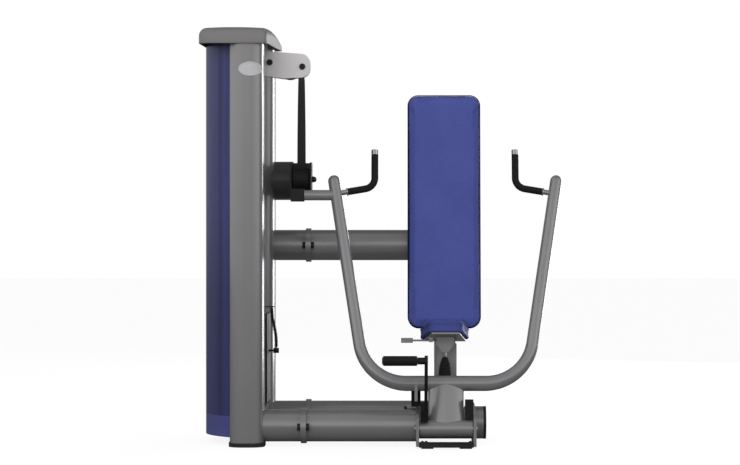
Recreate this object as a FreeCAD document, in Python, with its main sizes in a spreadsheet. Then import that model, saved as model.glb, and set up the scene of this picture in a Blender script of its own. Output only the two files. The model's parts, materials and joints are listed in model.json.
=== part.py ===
"""Chest press machine: weight tower on the left, seat and back pad on the right, press arm hinged low down.

Frame: +X to the machine's right as seen by someone facing the seat, +Y towards the back, +Z up, millimetres.
The origin is on the floor, at the middle of the whole machine's footprint box.
"""
import FreeCAD, Part
import math
import os
import re

import Sketcher
from FreeCAD import Placement, Rotation, Vector

# Driving sizes: name, millimetres or degrees, what it is.
SIZES = [
    ("seat_offset", 826, "tower centre to seat centre, along X"),
    ("post_spacing", 560, "front post centre to rear post centre"),
    ("post_wide", 141, "tower post width"),
    ("post_deep", 200, "tower post depth"),
    ("post_corner", 56, "tower post corner radius"),
    ("post_wall", 4, "tower post wall"),
    ("post_top", 1716, "top of the tower posts"),
    ("rear_shift", 17, "rear post stands this much nearer the seat"),
    ("foot_tall", 17, "plastic foot under a post"),
    ("foot_flange", 4, "foot stands proud of the post"),
    ("cap_left", 203, "top cap reach, away from the seat"),
    ("cap_right", 87, "top cap reach towards the seat, at the front"),
    ("cap_flare", 28, "top cap reaches this much further at the back"),
    ("cap_overhang", 12, "top cap beyond the posts, front and back"),
    ("cap_skirt", 61, "top cap front skirt height"),
    ("cap_lift", 22, "lower edge rises this much at the back"),
    ("cap_crown", 25, "rise of the crowned roof"),
    ("cap_wall", 5, "top cap wall"),
    ("cap_corner", 60, "top cap corner radius on the shroud side"),
    ("top_plate", 8, "frame plate on the post tops"),
    ("shroud_bulge", 122, "shroud bulge beyond the posts"),
    ("shroud_sheet", 4, "shroud sheet"),
    ("shroud_bottom", 34, "shroud lower edge"),
    ("guard_back", 188, "inner guard panel behind the stack centre"),
    ("guard_bottom", 122, "inner guard panel lower edge"),
    ("base_top", 150, "top of the tower's base beam"),
    ("base_wide", 130, "tower base beam width"),
    ("sheet_wall", 4, "wall of the square tubes"),
    ("stack_shift", 30, "weight stack centre beyond the tower centre"),
    ("plate_wide", 210, "weight plate, along X"),
    ("plate_long", 280, "weight plate, along Y"),
    ("plate_thick", 16.6, "weight plate thickness"),
    ("plate_pitch", 17.1, "weight plate pitch"),
    ("head_thick", 30, "head plate thickness"),
    ("bumper_tall", 20, "rubber under the stack"),
    ("bumper_radius", 25, "rubber under the stack"),
    ("rod_radius", 10, "guide rod"),
    ("rod_spread", 105, "guide rod from the stack centre"),
    ("rod_clearance", 1, "guide rod in a plate"),
    ("stem_radius", 12, "selector stem"),
    ("stem_clearance", 2, "selector stem in a plate"),
    ("pin_radius", 4.8, "selector pin"),
    ("pin_clearance", 0.4, "selector pin in its holes"),
    ("knob_radius", 11, "selector pin knob"),
    ("knob_reach", 43, "knob end beyond the plates"),
    ("knob_long", 23, "selector pin knob"),
    ("cord_radius", 8, "coiled pin cord, outside"),
    ("belt_wide", 36, "flat belt"),
    ("belt_thick", 3, "flat belt"),
    ("belt_gap", 0.3, "belt clear of a pulley drum"),
    ("twist_quick", 58, "falling belt makes half of its turn in this length"),
    ("tab_rise", 26, "cord end above the head plate"),
    ("drop_offset", 214.5, "falling belt from the tower centre"),
    ("drum_radius", 47, "upper pulley drum"),
    ("rim_radius", 50.5, "upper pulley rim"),
    ("drum_wide", 40, "upper pulley drum width"),
    ("rim_thick", 3, "pulley rim thickness"),
    ("bracket_pulley_height", 1591, "upper right pulley"),
    ("top_pulley_height", 1609, "pulley above the stack"),
    ("bracket_gap", 52, "between the pulley bracket plates"),
    ("bracket_plate", 6, "pulley bracket plate"),
    ("bracket_skin", 2.5, "what is left of the front bracket plate over the axles"),
    ("bracket_bolt", 13, "pulley bracket bolt head radius"),
    ("axle_radius", 8, "pulley axles"),
    ("axle_clearance", 0.08, "pulley, roller or lever on its axle, radial"),
    ("stub_radius", 84, "tube that carries the lower pulley"),
    ("stub_height", 1114.6, "its centre height"),
    ("tube_wall", 4, "round tube walls"),
    ("low_pulley_height", 1113.7, "lower pulley axle"),
    ("low_drum", 45, "lower pulley drum radius"),
    ("low_rim", 49, "lower pulley rim radius"),
    ("low_wide", 66, "lower pulley width over the rims"),
    ("block_left", 46.5, "block plate from the belt, tower side, outer face"),
    ("block_right", 47, "block plate from the belt, seat side, outer face"),
    ("block_plate", 8, "pulley block plates"),
    ("block_top", 1185, "pulley block top"),
    ("block_bottom", 1052, "pulley block bottom"),
    ("beam_radius", 66.5, "cross beam tube"),
    ("beam_height", 84, "lower cross beams, centre"),
    ("mid_beam_height", 833, "middle cross beam, centre"),
    ("flange_offset", 235.5, "beam joint from the tower centre"),
    ("flange_rim", 7, "joint flange beyond the tube, up and down"),
    ("flange_ear", 31, "joint flange beyond the tube, front and back"),
    ("flange_thick", 11.5, "one joint flange"),
    ("flange_bolt", 8, "joint bolt radius"),
    ("flange_bolt_reach", 82, "joint bolt from the beam centre"),
    ("flange_bolt_head", 14.5, "joint bolt head radius"),
    ("bolt_head_tall", 13, "joint bolt head"),
    ("base_tube_radius", 68.5, "tube across the seat base"),
    ("base_tube_half", 173, "its half length with caps"),
    ("base_tube_back", 172, "it lies this far behind the front post centre"),
    ("tube_cap", 12, "its end cap"),
    ("stop_seat_wide", 36, "seat of the rest buffer, along the base tube"),
    ("stop_seat_long", 100, "seat of the rest buffer"),
    ("stop_seat_low", 149, "seat of the rest buffer, underside"),
    ("stop_seat_tall", 9, "seat of the rest buffer"),
    ("stop_seat_ahead", 90, "seat of the rest buffer, its front ahead of the base tube"),
    ("stop_face", 70, "where the bow's lug meets the rest buffer, behind the front post centre"),
    ("rest_buffer_tall", 93, "rest buffer"),
    ("side_inner", 112, "side plate inner face from the seat centre"),
    ("side_thick", 12, "side plate"),
    ("pivot_forward", 100, "press arm hinge ahead of the front post centre"),
    ("pivot_height", 78, "press arm hinge"),
    ("pivot_radius", 37, "hinge tube"),
    ("pivot_bore", 30, "hinge tube bore"),
    ("pivot_half", 109, "hinge tube half length"),
    ("pivot_axle_radius", 15, "hinge axle"),
    ("pivot_axle_half", 130, "hinge axle half length"),
    ("bearing_long", 16, "hinge bearing"),
    ("bearing_clearance", 0.05, "hinge bearing on its axle, radial"),
    ("crossbar_top", 23, "front foot bar"),
    ("pad_tall", 5, "rubber foot pad"),
    ("lean", 14, "press arm leans back, degrees"),
    ("splay", 8.87, "each arm spreads outwards, degrees"),
    ("bow_rise", 190, "bow's lower bar from the hinge"),
    ("bow_corner_half", 333.6, "where arm line and lower bar line meet"),
    ("bow_bend", 200, "bend radius of the bow"),
    ("bow_bar_radius", 31.9, "bow's lower bar"),
    ("bow_arm_radius", 25.2, "bow's arms"),
    ("bow_wall", 3.5, "wall of the bow's tube"),
    ("bow_top_rise", 1058, "centre of an arm's domed end"),
    ("column_half_wide", 74.5, "oval column, half width"),
    ("column_half_deep", 30.5, "oval column, half depth, less than the tubes it is coped to"),
    ("column_wall", 5, "oval column wall"),
    ("grip_half", 297, "hand grip from the seat centre"),
    ("grip_root_rise", 1003, "handle leaves the arm"),
    ("grip_bend_rise", 1031, "handle turns up"),
    ("grip_top_rise", 1173, "upper end of the hand grip"),
    ("grip_cap_tall", 21, "cap on the hand grip"),
    ("grip_start_half", 410, "outer end of the hand grip"),
    ("grip_ring", 6, "ring at the grip's outer end"),
    ("grip_ring_radius", 16.3, "ring at the grip's outer end"),
    ("grip_radius", 15, "hand grip"),
    ("handle_radius", 11, "bar inside the grip"),
    ("handle_bend", 48, "handle bend radius"),
    ("belt_arm_rise", 996.6, "tube that carries the belt clamp"),
    ("belt_arm_radius", 22, "tube that carries the belt clamp"),
    ("clamp_tall", 54, "belt clamp"),
    ("clamp_deep", 30, "belt clamp"),
    ("clamp_left", 40, "clamp beyond the belt centre"),
    ("lever_side", 84, "foot lever from the seat centre"),
    ("lever_lap", 4, "how far the foot lever comes down over the hinge tube"),
    ("lever_forward", 190, "foot roller ahead of the hinge"),
    ("lever_rise", 289, "foot roller above the hinge"),
    ("lever_half", 22, "foot lever half width"),
    ("lever_thick", 13.5, "foot lever"),
    ("roller_radius", 20.7, "foot roller"),
    ("roller_inner", 120, "foot roller, near end from the seat centre"),
    ("roller_outer", 260, "foot roller, far end from the seat centre"),
    ("roller_pin", 8, "foot roller pin radius"),
    ("collar_radius", 14.3, "collar between lever and roller"),
    ("seat_lean", 8.7, "seat slopes down to the back, degrees"),
    ("seat_forward", 5, "seat front edge ahead of the front post centre"),
    ("seat_front_height", 473, "seat cushion underside at the front"),
    ("seat_long", 317, "seat cushion"),
    ("seat_front_half", 72, "seat cushion half width at the front"),
    ("seat_back_half", 111, "seat cushion half width at the back"),
    ("seat_thick", 55, "seat cushion"),
    ("seat_corner", 42, "seat cushion front corners"),
    ("seat_board", 6, "seat plate"),
    ("soft_gap", 0.3, "gap under a soft piece"),
    ("column_wide", 82, "seat column"),
    ("column_aside", 9, "seat column to the right of the seat's middle"),
    ("column_deep", 64, "seat column"),
    ("column_top", 415, "seat column"),
    ("column_back", 235, "seat column behind the front post centre"),
    ("slide_clearance", 1, "seat post in its column, each side"),
    ("gas_back", 140, "gas spring behind the front post centre"),
    ("gas_radius", 28, "gas spring boot"),
    ("gas_shoulder", 280, "where the boot starts to taper"),
    ("gas_top", 360, "top of the boot"),
    ("gas_rod", 6, "gas spring rod"),
    ("rail_wide", 80, "rail from the seat base to the upright"),
    ("rail_bottom", 30, "rail"),
    ("rail_top", 90, "rail"),
    ("upright_wide", 80, "upright behind the back pad"),
    ("upright_deep", 120, "upright behind the back pad"),
    ("upright_top", 1250, "upright behind the back pad"),
    ("back_lean", 6, "back pad leans back, degrees"),
    ("back_front", 320, "back pad face at its lower edge, behind the front post centre"),
    ("back_bottom", 477, "back pad lower edge"),
    ("back_half", 159, "back pad half width"),
    ("back_long", 1016, "back pad"),
    ("back_thick", 70, "back pad"),
    ("back_corner", 55, "back pad corners"),
    ("board_thick", 12, "back board"),
    ("release_radius", 4, "seat release lever"),
    ("release_hinge", 60, "seat release lever hinge from the seat centre"),
    ("release_back", 100, "seat release lever behind the front post centre"),
    ("release_height", 434, "seat release lever"),
    ("release_reach", 186, "seat release lever end"),
]
CAP_LOW = "(post_top + top_plate + cap_wall - cap_skirt)"  # lower edge of the cap at the front
LIFTED = 8  # weight plates above the selector pin
RESTING = 12  # weight plates below it
X_AXIS, Y_AXIS, Z_AXIS = Vector(1, 0, 0), Vector(0, 1, 0), Vector(0, 0, 1)

doc = FreeCAD.newDocument("ChestPress")
sheet = doc.addObject("Spreadsheet::Sheet", "Sizes")
for row, (name, value, meaning) in enumerate(SIZES, 1):
    sheet.set(f"A{row}", meaning)
    sheet.set(f"B{row}", str(value))
    sheet.setAlias(f"B{row}", name)
doc.recompute()
size = {name: float(sheet.get(name)) for name, _, _ in SIZES}
parts = {}


# ---------------------------------------------------------------- helpers
def ref(text):
    """Turn a formula in size names into an expression that reads the sheet."""
    return re.sub(r"[a-z_]+", lambda m: "Sizes." + m[0] if m[0] in size else m[0], str(text))


def value(text):
    """The number that such a formula gives now."""
    doc_value = sheet.evalExpression(ref(text))
    return float(getattr(doc_value, "Value", doc_value))


def bind(obj, **formulas):
    """Bind properties to formulas in size names."""
    for prop, text in formulas.items():
        obj.setExpression(prop, ref(text))
    return obj


def put(obj, at, axis=Z_AXIS, frame=Placement()):
    """Place an object whose own axis is Z at a point and along an axis of a frame."""
    obj.Placement = frame.multiply(Placement(Vector(*at), Rotation(Z_AXIS, axis)))
    return obj


def box(long_x, long_y, long_z, at, frame=Placement()):
    """A box whose lowest corner is at a point."""
    obj = bind(doc.addObject("Part::Box", "Box"), Length=long_x, Width=long_y, Height=long_z)
    return put(obj, at, Z_AXIS, frame)


def rod(radius, length, at, axis=Z_AXIS, frame=Placement()):
    """A round bar from a point along an axis."""
    obj = bind(doc.addObject("Part::Cylinder", "Rod"), Radius=radius, Height=length)
    return put(obj, at, axis, frame)


def cone(radius, end_radius, length, at):
    """An upright cone."""
    return put(
        bind(doc.addObject("Part::Cone", "Cone"), Radius1=radius, Radius2=end_radius, Height=length),
        at,
    )


def ball(radius, at, frame=Placement()):
    """A ball."""
    return put(bind(doc.addObject("Part::Sphere", "Ball"), Radius=radius), at, Z_AXIS, frame)


def cut(base, *tools):
    """One shape less others."""
    obj = doc.addObject("Part::Cut", "Cut")
    obj.Base, obj.Tool = base, tools[0] if len(tools) == 1 else group(*tools)
    return obj


def common(first, second):
    """What two shapes share."""
    obj = doc.addObject("Part::Common", "Common")
    obj.Base, obj.Tool = first, second
    return obj


def fuse(*shapes):
    """Shapes welded into one solid."""
    obj = doc.addObject("Part::MultiFuse", "Weld")
    obj.Shapes, obj.Refine = list(shapes), True
    return obj


def group(*shapes):
    """Separate solids kept together."""
    obj = doc.addObject("Part::Compound", "Group")
    obj.Links = list(shapes)
    return obj


def tube(radius, wall, length, at, axis=Z_AXIS, frame=Placement()):
    """A round tube from a point along an axis."""
    bore = rod(f"{radius} - {wall}", length, at, axis, frame)
    return cut(rod(radius, length, at, axis, frame), bore)


def oval(half_x, half_y, height, at, frame=Placement()):
    """An upright oval bar."""
    wide = value(half_x) >= value(half_y)
    ring = bind(
        doc.addObject("Part::Ellipse", "Oval"),
        MajorRadius=half_x if wide else half_y,
        MinorRadius=half_y if wide else half_x,
    )
    turn = Rotation(Z_AXIS, 0 if wide else 90)
    ring.Placement = frame.multiply(Placement(Vector(*at), turn))
    bar = doc.addObject("Part::Extrusion", "OvalBar")
    bar.Base, bar.DirMode, bar.Dir, bar.Solid = ring, "Custom", frame.Rotation.multVec(Z_AXIS), True
    return bind(bar, LengthFwd=height)


def prism(outline, height, frame, arcs=None):
    """A body padded along the frame's Z from an outline of (x, y) formulas; arcs maps a side to its radius.

    An arc bulges to the right of its side's direction, which is outwards on an anticlockwise outline.
    """
    arcs = arcs or {}
    body = doc.addObject("PartDesign::Body", "Prism")
    sketch = body.newObject("Sketcher::SketchObject", "Outline")
    plane = next(f for f in body.Origin.OriginFeatures if f.Role == "XY_Plane")
    sketch.AttachmentSupport, sketch.MapMode = [(plane, "")], "FlatFace"
    corners = [Vector(value(x), value(y), 0) for x, y in outline]
    count = len(corners)
    for i, start in enumerate(corners):
        end = corners[(i + 1) % count]
        if i in arcs:
            radius, half = value(arcs[i]), (end - start).Length / 2
            bulge = radius - math.sqrt(radius**2 - half**2)
            along = (end - start).normalize()
            middle = (start + end) / 2 + Vector(along.y, -along.x, 0) * bulge
            sketch.addGeometry(Part.Arc(start, middle, end), False)
        else:
            sketch.addGeometry(Part.LineSegment(start, end), False)

    def ends(i):
        """Which point numbers of side i are its start and end: an arc keeps them by its own direction."""
        if i not in arcs:
            return 1, 2
        first = sketch.getPoint(i, 1)
        return (1, 2) if (first - corners[i]).Length < 1e-6 else (2, 1)

    for i in range(count):
        other = (i + 1) % count
        sketch.addConstraint(Sketcher.Constraint("Coincident", i, ends(i)[1], other, ends(other)[0]))
    for i, (x, y) in enumerate(outline):
        for kind, text, now in (("DistanceX", x, corners[i].x), ("DistanceY", y, corners[i].y)):
            made = sketch.addConstraint(Sketcher.Constraint(kind, -1, 1, i, ends(i)[0], now))
            sketch.setExpression(f"Constraints[{made}]", ref(text))
    for i, radius in arcs.items():
        made = sketch.addConstraint(Sketcher.Constraint("Radius", i, value(radius)))
        sketch.setExpression(f"Constraints[{made}]", ref(radius))
    pad = body.newObject("PartDesign::Pad", "Height")
    pad.Profile = sketch
    bind(pad, Length=height)
    body.Placement = frame
    return body


def rounded(body, radius, chosen):
    """Round the upright edges of a prism whose (x, y), in the prism's own plane, pass a test."""
    doc.recompute()
    pad = body.Tip
    names = []
    for number, edge in enumerate(pad.Shape.Edges, 1):
        start, end = edge.Vertexes[0].Point, edge.Vertexes[-1].Point
        if abs(end.z - start.z) > 1e-6 and (end - start).cross(Z_AXIS).Length < 1e-6 and chosen(
            start.x,
            start.y,
        ):
            names.append(f"Edge{number}")
    fillet = body.newObject("PartDesign::Fillet", "Corners")
    fillet.Base = (pad, names)
    bind(fillet, Radius=radius)
    return body


def swept(radius, path, frame=Placement(), end_radius=None):
    """A round bar along a wire in a frame's own coordinates, tapering if it has an end radius."""
    spine = doc.addObject("Part::Feature", "Path")
    spine.Shape = path
    spine.Placement = frame
    edges = path.OrderedEdges
    ends = [
        (edges[0].valueAt(edges[0].FirstParameter), edges[0].tangentAt(edges[0].FirstParameter), radius),
    ]
    if end_radius:
        last = edges[-1]
        ends.append((last.valueAt(last.LastParameter), last.tangentAt(last.LastParameter), end_radius))
    rings = [
        put(
            bind(doc.addObject("Part::Circle", "Ring"), Radius=r),
            point,
            along,
            frame,
        ) for point, along, r in ends
    ]
    bar = doc.addObject("Part::Sweep", "Bar")
    bar.Sections, bar.Spine, bar.Solid, bar.Frenet = rings, (spine, []), True, False
    return bar


def elbow_path(start, corner, end, radius):
    """Two straight runs joined by a tangent arc."""
    start, corner, end = Vector(*start), Vector(*corner), Vector(*end)
    back, ahead = (start - corner).normalize(), (end - corner).normalize()
    half = back.getAngle(ahead) / 2
    leg = radius / math.tan(half)
    middle = corner + (back + ahead).normalize() * (radius / math.sin(half) - radius)
    first, last = corner + back * leg, corner + ahead * leg
    return Part.Wire(
        [
            Part.LineSegment(start, first).toShape(),
            Part.Arc(first, middle, last).toShape(),
            Part.LineSegment(last, end).toShape(),
        ]
    )


def cord_path(points):
    """Straight runs joined by arcs as large as the runs allow: 0.45 of the shorter run over tan(half turn)."""
    points = [Vector(*p) for p in points]
    edges, last = [], points[0]
    for before, corner, after in zip(points, points[1:], points[2:]):
        back, ahead = before - corner, after - corner
        leg = 0.45 * min(back.Length, ahead.Length)
        back, ahead = back.normalize(), ahead.normalize()
        half = back.getAngle(ahead) / 2
        radius = leg * math.tan(half)
        print(f"cord bend radius {radius:.1f} mm")
        first, end = corner + back * leg, corner + ahead * leg
        middle = corner + (back + ahead).normalize() * (radius / math.sin(half) - radius)
        edges += [Part.LineSegment(last, first).toShape(), Part.Arc(first, middle, end).toShape()]
        last = end
    edges.append(Part.LineSegment(last, points[-1]).toShape())
    return Part.Wire(edges)


def fixed(shape):
    """A shape made by Part's own functions."""
    obj = doc.addObject("Part::Feature", "Made")
    obj.Shape = shape
    return obj


def finish(label, obj):
    """Name a sub-part for its file."""
    obj.Label = label
    parts[label] = obj
    return obj


# ---------------------------------------------------------------- layout
bow_reach = value(
    "bow_corner_half + (bow_top_rise - bow_rise) * tan(splay) + bow_arm_radius"
)
tower_x = (size["cap_left"] - size["seat_offset"] - bow_reach) / 2
seat_x = tower_x + size["seat_offset"]
front_reach = value("pivot_forward + lever_forward + lever_half")
rear_reach = value("post_spacing + post_deep / 2 + cap_overhang")
front_y = (front_reach - rear_reach) / 2
rear_y = front_y + size["post_spacing"]
stack_y = (front_y + rear_y) / 2
rear_x = tower_x + size["rear_shift"]
stack_x = tower_x - size["stack_shift"]
drop_x = tower_x + size["drop_offset"]
joint_x = tower_x + size["flange_offset"]
pivot_y = front_y - size["pivot_forward"]
base_tube_y = front_y + size["base_tube_back"]
stack_bottom = value("base_top + bumper_tall")
head_bottom = stack_bottom + (LIFTED + RESTING) * size["plate_pitch"]
head_top = head_bottom + size["head_thick"]
pin_height = head_bottom - (LIFTED - 0.5) * size["plate_pitch"]
plates_right = stack_x + size["plate_wide"] / 2
cap_low = value(CAP_LOW)
low_pulley_y = stack_y - value("low_drum + belt_thick / 2")
belt_radius = value("drum_radius + belt_thick / 2")
top_pulley_x = stack_x + belt_radius
bracket_pulley_x = drop_x - belt_radius
arm_frame = Placement(Vector(seat_x, pivot_y, size["pivot_height"]), Rotation(X_AXIS, -size["lean"]))
seat_frame = Placement(
    Vector(seat_x, front_y - size["seat_forward"], size["seat_front_height"]), Rotation(
        X_AXIS,
        -size["seat_lean"],
    )
)
back_frame = Placement(
    Vector(seat_x, front_y + size["back_front"], size["back_bottom"]), Rotation(X_AXIS, -size["back_lean"])
)
upright_y = rear_y
arm_slope = math.tan(math.radians(size["splay"]))


def yz_frame(x):
    """A frame whose own X is the machine's Y, own Y is up and own Z is the machine's X."""
    return Placement(Vector(x, 0, 0), Rotation(Y_AXIS, Z_AXIS, X_AXIS))


def xz_frame(x, y, z):
    """A frame whose own X is the machine's X, own Y is up and own Z points to the front."""
    return Placement(Vector(x, y, z), Rotation(X_AXIS, Z_AXIS, Vector(0, -1, 0)))


# ---------------------------------------------------------------- tower
def post_solid(x, y, grow="0", low="foot_tall", tall="post_top - foot_tall"):
    """A post's outside, a rectangle with large round corners: to make it and to cope what is welded to it."""
    wide, deep = f"(post_wide / 2 + {grow})", f"(post_deep / 2 + {grow})"
    outline = [(f"-{wide}", f"-{deep}"), (wide, f"-{deep}"), (wide, deep), (f"-{wide}", deep)]
    solid = prism(outline, tall, Placement(Vector(x, y, value(low)), Rotation()))
    return rounded(solid, f"post_corner + {grow}", lambda x, y: True)


def low_beams():
    """The two lower cross beams' outsides near the posts, to cope what they pass through."""
    height = size["beam_height"]
    return [
        rod("beam_radius", "post_wide", (x, y, height), X_AXIS)
        for x, y in ((tower_x, front_y), (rear_x, rear_y))
    ]


def make_tower():
    """Posts, feet, base beam, top plate, cap and shroud."""
    for label, x, y in (("front_post", tower_x, front_y), ("rear_post", rear_x, rear_y)):
        finish(label, cut(post_solid(x, y), post_solid(x, y, "-post_wall")))
    feet = [
        post_solid(x, y, "foot_flange", "0", "foot_tall")
        for x, y in ((tower_x, front_y), (rear_x, rear_y))
    ]
    finish("post_feet", cut(group(*feet), *low_beams()))

    low, wall = size["foot_tall"], size["sheet_wall"]
    left = tower_x - size["base_wide"] / 2
    beam = box("base_wide", "post_spacing", "base_top - foot_tall", (left, front_y, low))
    hollow = box(
        "base_wide - 2 * sheet_wall",
        "post_spacing",
        "base_top - foot_tall - 2 * sheet_wall",
        (left + wall, front_y, low + wall),
    )
    posts = [post_solid(tower_x, front_y), post_solid(rear_x, rear_y)]
    finish("tower_base", cut(beam, hollow, *posts, *low_beams()))
    plate = box(
        "post_wide",
        "post_spacing + post_deep - 20",
        "top_plate",
        (tower_x - size["post_wide"] / 2 + 8, front_y - size["post_deep"] / 2 + 10, size["post_top"]),
    )
    finish("top_frame", plate)
    make_cap()
    make_shroud()


def cap_plan(inset, low, tall):
    """The cap's plan, rounded on the shroud side, at a height."""
    frame = Placement(Vector(tower_x, front_y, low), Rotation())
    front = f"-(post_deep / 2 + cap_overhang - {inset})"
    back = f"post_spacing + post_deep / 2 + cap_overhang - {inset}"
    outline = [
        (f"-cap_left + {inset}", front),
        (f"cap_right - {inset}", front),
        (f"cap_right + cap_flare - {inset}", back),
        (f"-cap_left + {inset}", back),
    ]
    plan = prism(outline, tall, frame)
    return rounded(plan, f"cap_corner - {inset}", lambda x, y: x < 0)


def make_cap():
    """Crowned cap: side outline run across the tower, trimmed to the plan and hollowed from below."""
    half = "(post_spacing / 2 + post_deep / 2 + cap_overhang)"
    middle = f"{stack_y}"
    side = [
        (f"{middle} - {half}", CAP_LOW),
        (f"{middle} + {half}", f"{CAP_LOW} + cap_lift"),
        (f"{middle} + {half}", f"{CAP_LOW} + cap_skirt"),
        (f"{middle} - {half}", f"{CAP_LOW} + cap_skirt"),
    ]
    crown = f"({half}^2 + cap_crown^2) / (2 * cap_crown)"
    loaf = prism(
        side,
        "cap_left + cap_right + cap_flare",
        yz_frame(tower_x - size["cap_left"]),
        arcs={2: crown},
    )
    outside = common(loaf, cap_plan("0", cap_low, "cap_skirt + cap_crown"))
    inside = cap_plan("cap_wall", cap_low, "cap_skirt - cap_wall")
    finish("top_cap", cut(outside, inside))


def make_shroud():
    """Curved guard sheet: an arc between the two posts."""
    radius = "((post_spacing / 2)^2 + shroud_bulge^2) / (2 * shroud_bulge)"
    side = tower_x - size["post_wide"] / 2
    centre = side - size["shroud_bulge"] + value(radius)
    tall = "post_top - shroud_bottom"
    ring = tube(radius, "shroud_sheet", tall, (centre, stack_y, size["shroud_bottom"]))
    half = value("post_spacing / 2")
    zone = box(
        "shroud_bulge + 10",
        "post_spacing",
        tall,
        (side - size["shroud_bulge"] - 5, stack_y - half, 0),
    )
    zone.Placement.Base.z = size["shroud_bottom"]
    sheet_arc = common(ring, zone)
    finish(
        "weight_shroud",
        cut(sheet_arc, post_solid(tower_x, front_y, "soft_gap"), post_solid(rear_x, rear_y, "soft_gap")),
    )
    inside = rod(f"{radius} - shroud_sheet - soft_gap", tall, (centre, stack_y, size["shroud_bottom"]))
    guard_x, guard_y = side - size["shroud_bulge"], stack_y + size["guard_back"]
    panel = box(
        "shroud_bulge + post_wide / 2",
        "shroud_sheet",
        "post_top - guard_bottom",
        (guard_x, guard_y, size["guard_bottom"]),
    )
    base = box("base_wide", "post_spacing", "base_top", (tower_x - size["base_wide"] / 2, front_y, 0))
    finish("rear_guard", cut(common(panel, inside), post_solid(rear_x, rear_y), base))


# ---------------------------------------------------------------- weight stack
def rod_places():
    """The two guide rods' (x, y)."""
    return [(stack_x, stack_y + side * size["rod_spread"]) for side in (-1, 1)]


def plate_row(first, count):
    """Weight plates from a height up, bored for rods, stem and selector pin."""
    pitch = size["plate_pitch"]
    plates = [
        box(
            "plate_wide",
            "plate_long",
            "plate_thick",
            (stack_x - size["plate_wide"] / 2, stack_y - size["plate_long"] / 2, first + i * pitch),
        )
        for i in range(count)
    ]
    span = f"{count} * plate_pitch"
    bores = [rod("rod_radius + rod_clearance", span, (x, y, first)) for x, y in rod_places()]
    bores.append(rod("stem_radius + stem_clearance", span, (stack_x, stack_y, first)))
    for i in range(count):
        middle = first + i * pitch + size["plate_thick"] / 2
        bores.append(
            rod("pin_radius + pin_clearance", "plate_wide / 2", (stack_x, stack_y, middle), X_AXIS)
        )
    return cut(group(*plates), fuse(*bores))


def make_stack():
    """Guide rods, rubbers, plates, head plate, stem, pin and its cord."""
    finish(
        "guide_rods",
        group(
            *[rod("rod_radius", "post_top - base_top", (x, y, size["base_top"])) for x, y in rod_places()]
        ),
    )
    rubbers = [
        cut(
            rod("bumper_radius", "bumper_tall", (x, y, size["base_top"])),
            rod("rod_radius + soft_gap", "bumper_tall", (x, y, size["base_top"])),
        )
        for x, y in rod_places()
    ]
    finish("stack_bumpers", group(*rubbers))
    finish("resting_plates", plate_row(stack_bottom, RESTING))
    finish("lifted_plates", plate_row(stack_bottom + RESTING * size["plate_pitch"], LIFTED))

    block = box(
        "plate_wide",
        "plate_long",
        "head_thick",
        (stack_x - size["plate_wide"] / 2, stack_y - size["plate_long"] / 2, head_bottom),
    )
    boss = box("40", "belt_wide + 12", "30", (stack_x - 20, stack_y - size["belt_wide"] / 2 - 6, head_top))
    sleeves = [rod("rod_radius + 8", "head_thick + 12", (x, y, head_bottom)) for x, y in rod_places()]
    bores = [
        rod("rod_radius + rod_clearance", "head_thick + 12", (x, y, head_bottom))
        for x, y in rod_places()
    ]
    riser = box("8", "16", "31", (plates_right - 22, stack_y - 8, head_top))
    tab = box("45", "16", "5", (plates_right - 22, stack_y - 8, head_top + size["tab_rise"]))
    finish("head_plate", cut(fuse(block, boss, riser, tab, *sleeves), *bores))

    stem_low = stack_bottom + 5
    stem = rod("stem_radius", f"{head_bottom - stem_low}", (stack_x, stack_y, stem_low))
    holes = []
    for i in range(LIFTED + RESTING):
        middle = stack_bottom + i * size["plate_pitch"] + size["plate_thick"] / 2
        holes.append(
            rod(
                "pin_radius + pin_clearance",
                "3 * stem_radius",
                (stack_x - 1.5 * size["stem_radius"], stack_y, middle),
                X_AXIS,
            )
        )
    finish("selector_stem", cut(stem, group(*holes)))

    shaft = rod(
        "pin_radius",
        f"plate_wide / 2 + knob_reach + {0.8 * size['stem_radius']}",
        (stack_x - 0.8 * size["stem_radius"], stack_y, pin_level()),
        X_AXIS,
    )
    knob_end = plates_right + size["knob_reach"]
    knob = rod("knob_radius", "knob_long", (knob_end - size["knob_long"], stack_y, pin_level()), X_AXIS)
    finish("selector_pin", fuse(shaft, knob))
    finish("pin_cord", swept("cord_radius", cord_path(cord_points())))


def pin_level():
    """Height of the selector pin: the middle of the lowest lifted plate."""
    return stack_bottom + RESTING * size["plate_pitch"] + size["plate_thick"] / 2


def cord_points():
    """Route of the coiled cord, chosen by hand: from the head plate's tab down beside the plates to the knob."""
    high, low = head_top + size["tab_rise"], pin_level() + size["knob_radius"] + size["soft_gap"]
    step = (high - low) / 4
    sideways = (13, 13, 24, 31.5, 31.5)
    return [(plates_right + dx, stack_y, high - i * step) for i, dx in enumerate(sideways)]


# ---------------------------------------------------------------- belt drive
def pulley(drum, rim, wide, at, axis):
    """A flat belt pulley with rims, centred at a point, bored for its axle."""
    axis = Vector(*axis)
    point = Vector(*at) - axis * (value(wide) / 2)
    inner = Vector(*at) + axis * (value(wide) / 2 - size["rim_thick"])
    body = fuse(
        rod(drum, wide, point, axis), rod(rim, "rim_thick", point, axis), rod(rim, "rim_thick", inner, axis)
    )
    return cut(body, rod("axle_radius + axle_clearance", wide, point, axis))


def bracket_plate(y):
    """One plate of the upper pulley bracket, its outer face at a Y; points start at the right pulley's axle."""
    rise = f"post_top - {size['bracket_pulley_height']}"
    outline = [
        ("-232", "-30"),
        ("-101", "-36"),
        ("-24", "-47"),
        ("86", "-40"),
        ("86", "56"),
        ("-34", "65"),
        ("-100", "70"),
        ("-100", rise),
        ("-232", rise),
    ]
    plate = prism(outline, "bracket_plate", xz_frame(bracket_pulley_x, y, size["bracket_pulley_height"]))
    return rounded(plate, "40", lambda x, y: x > 80)


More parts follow.
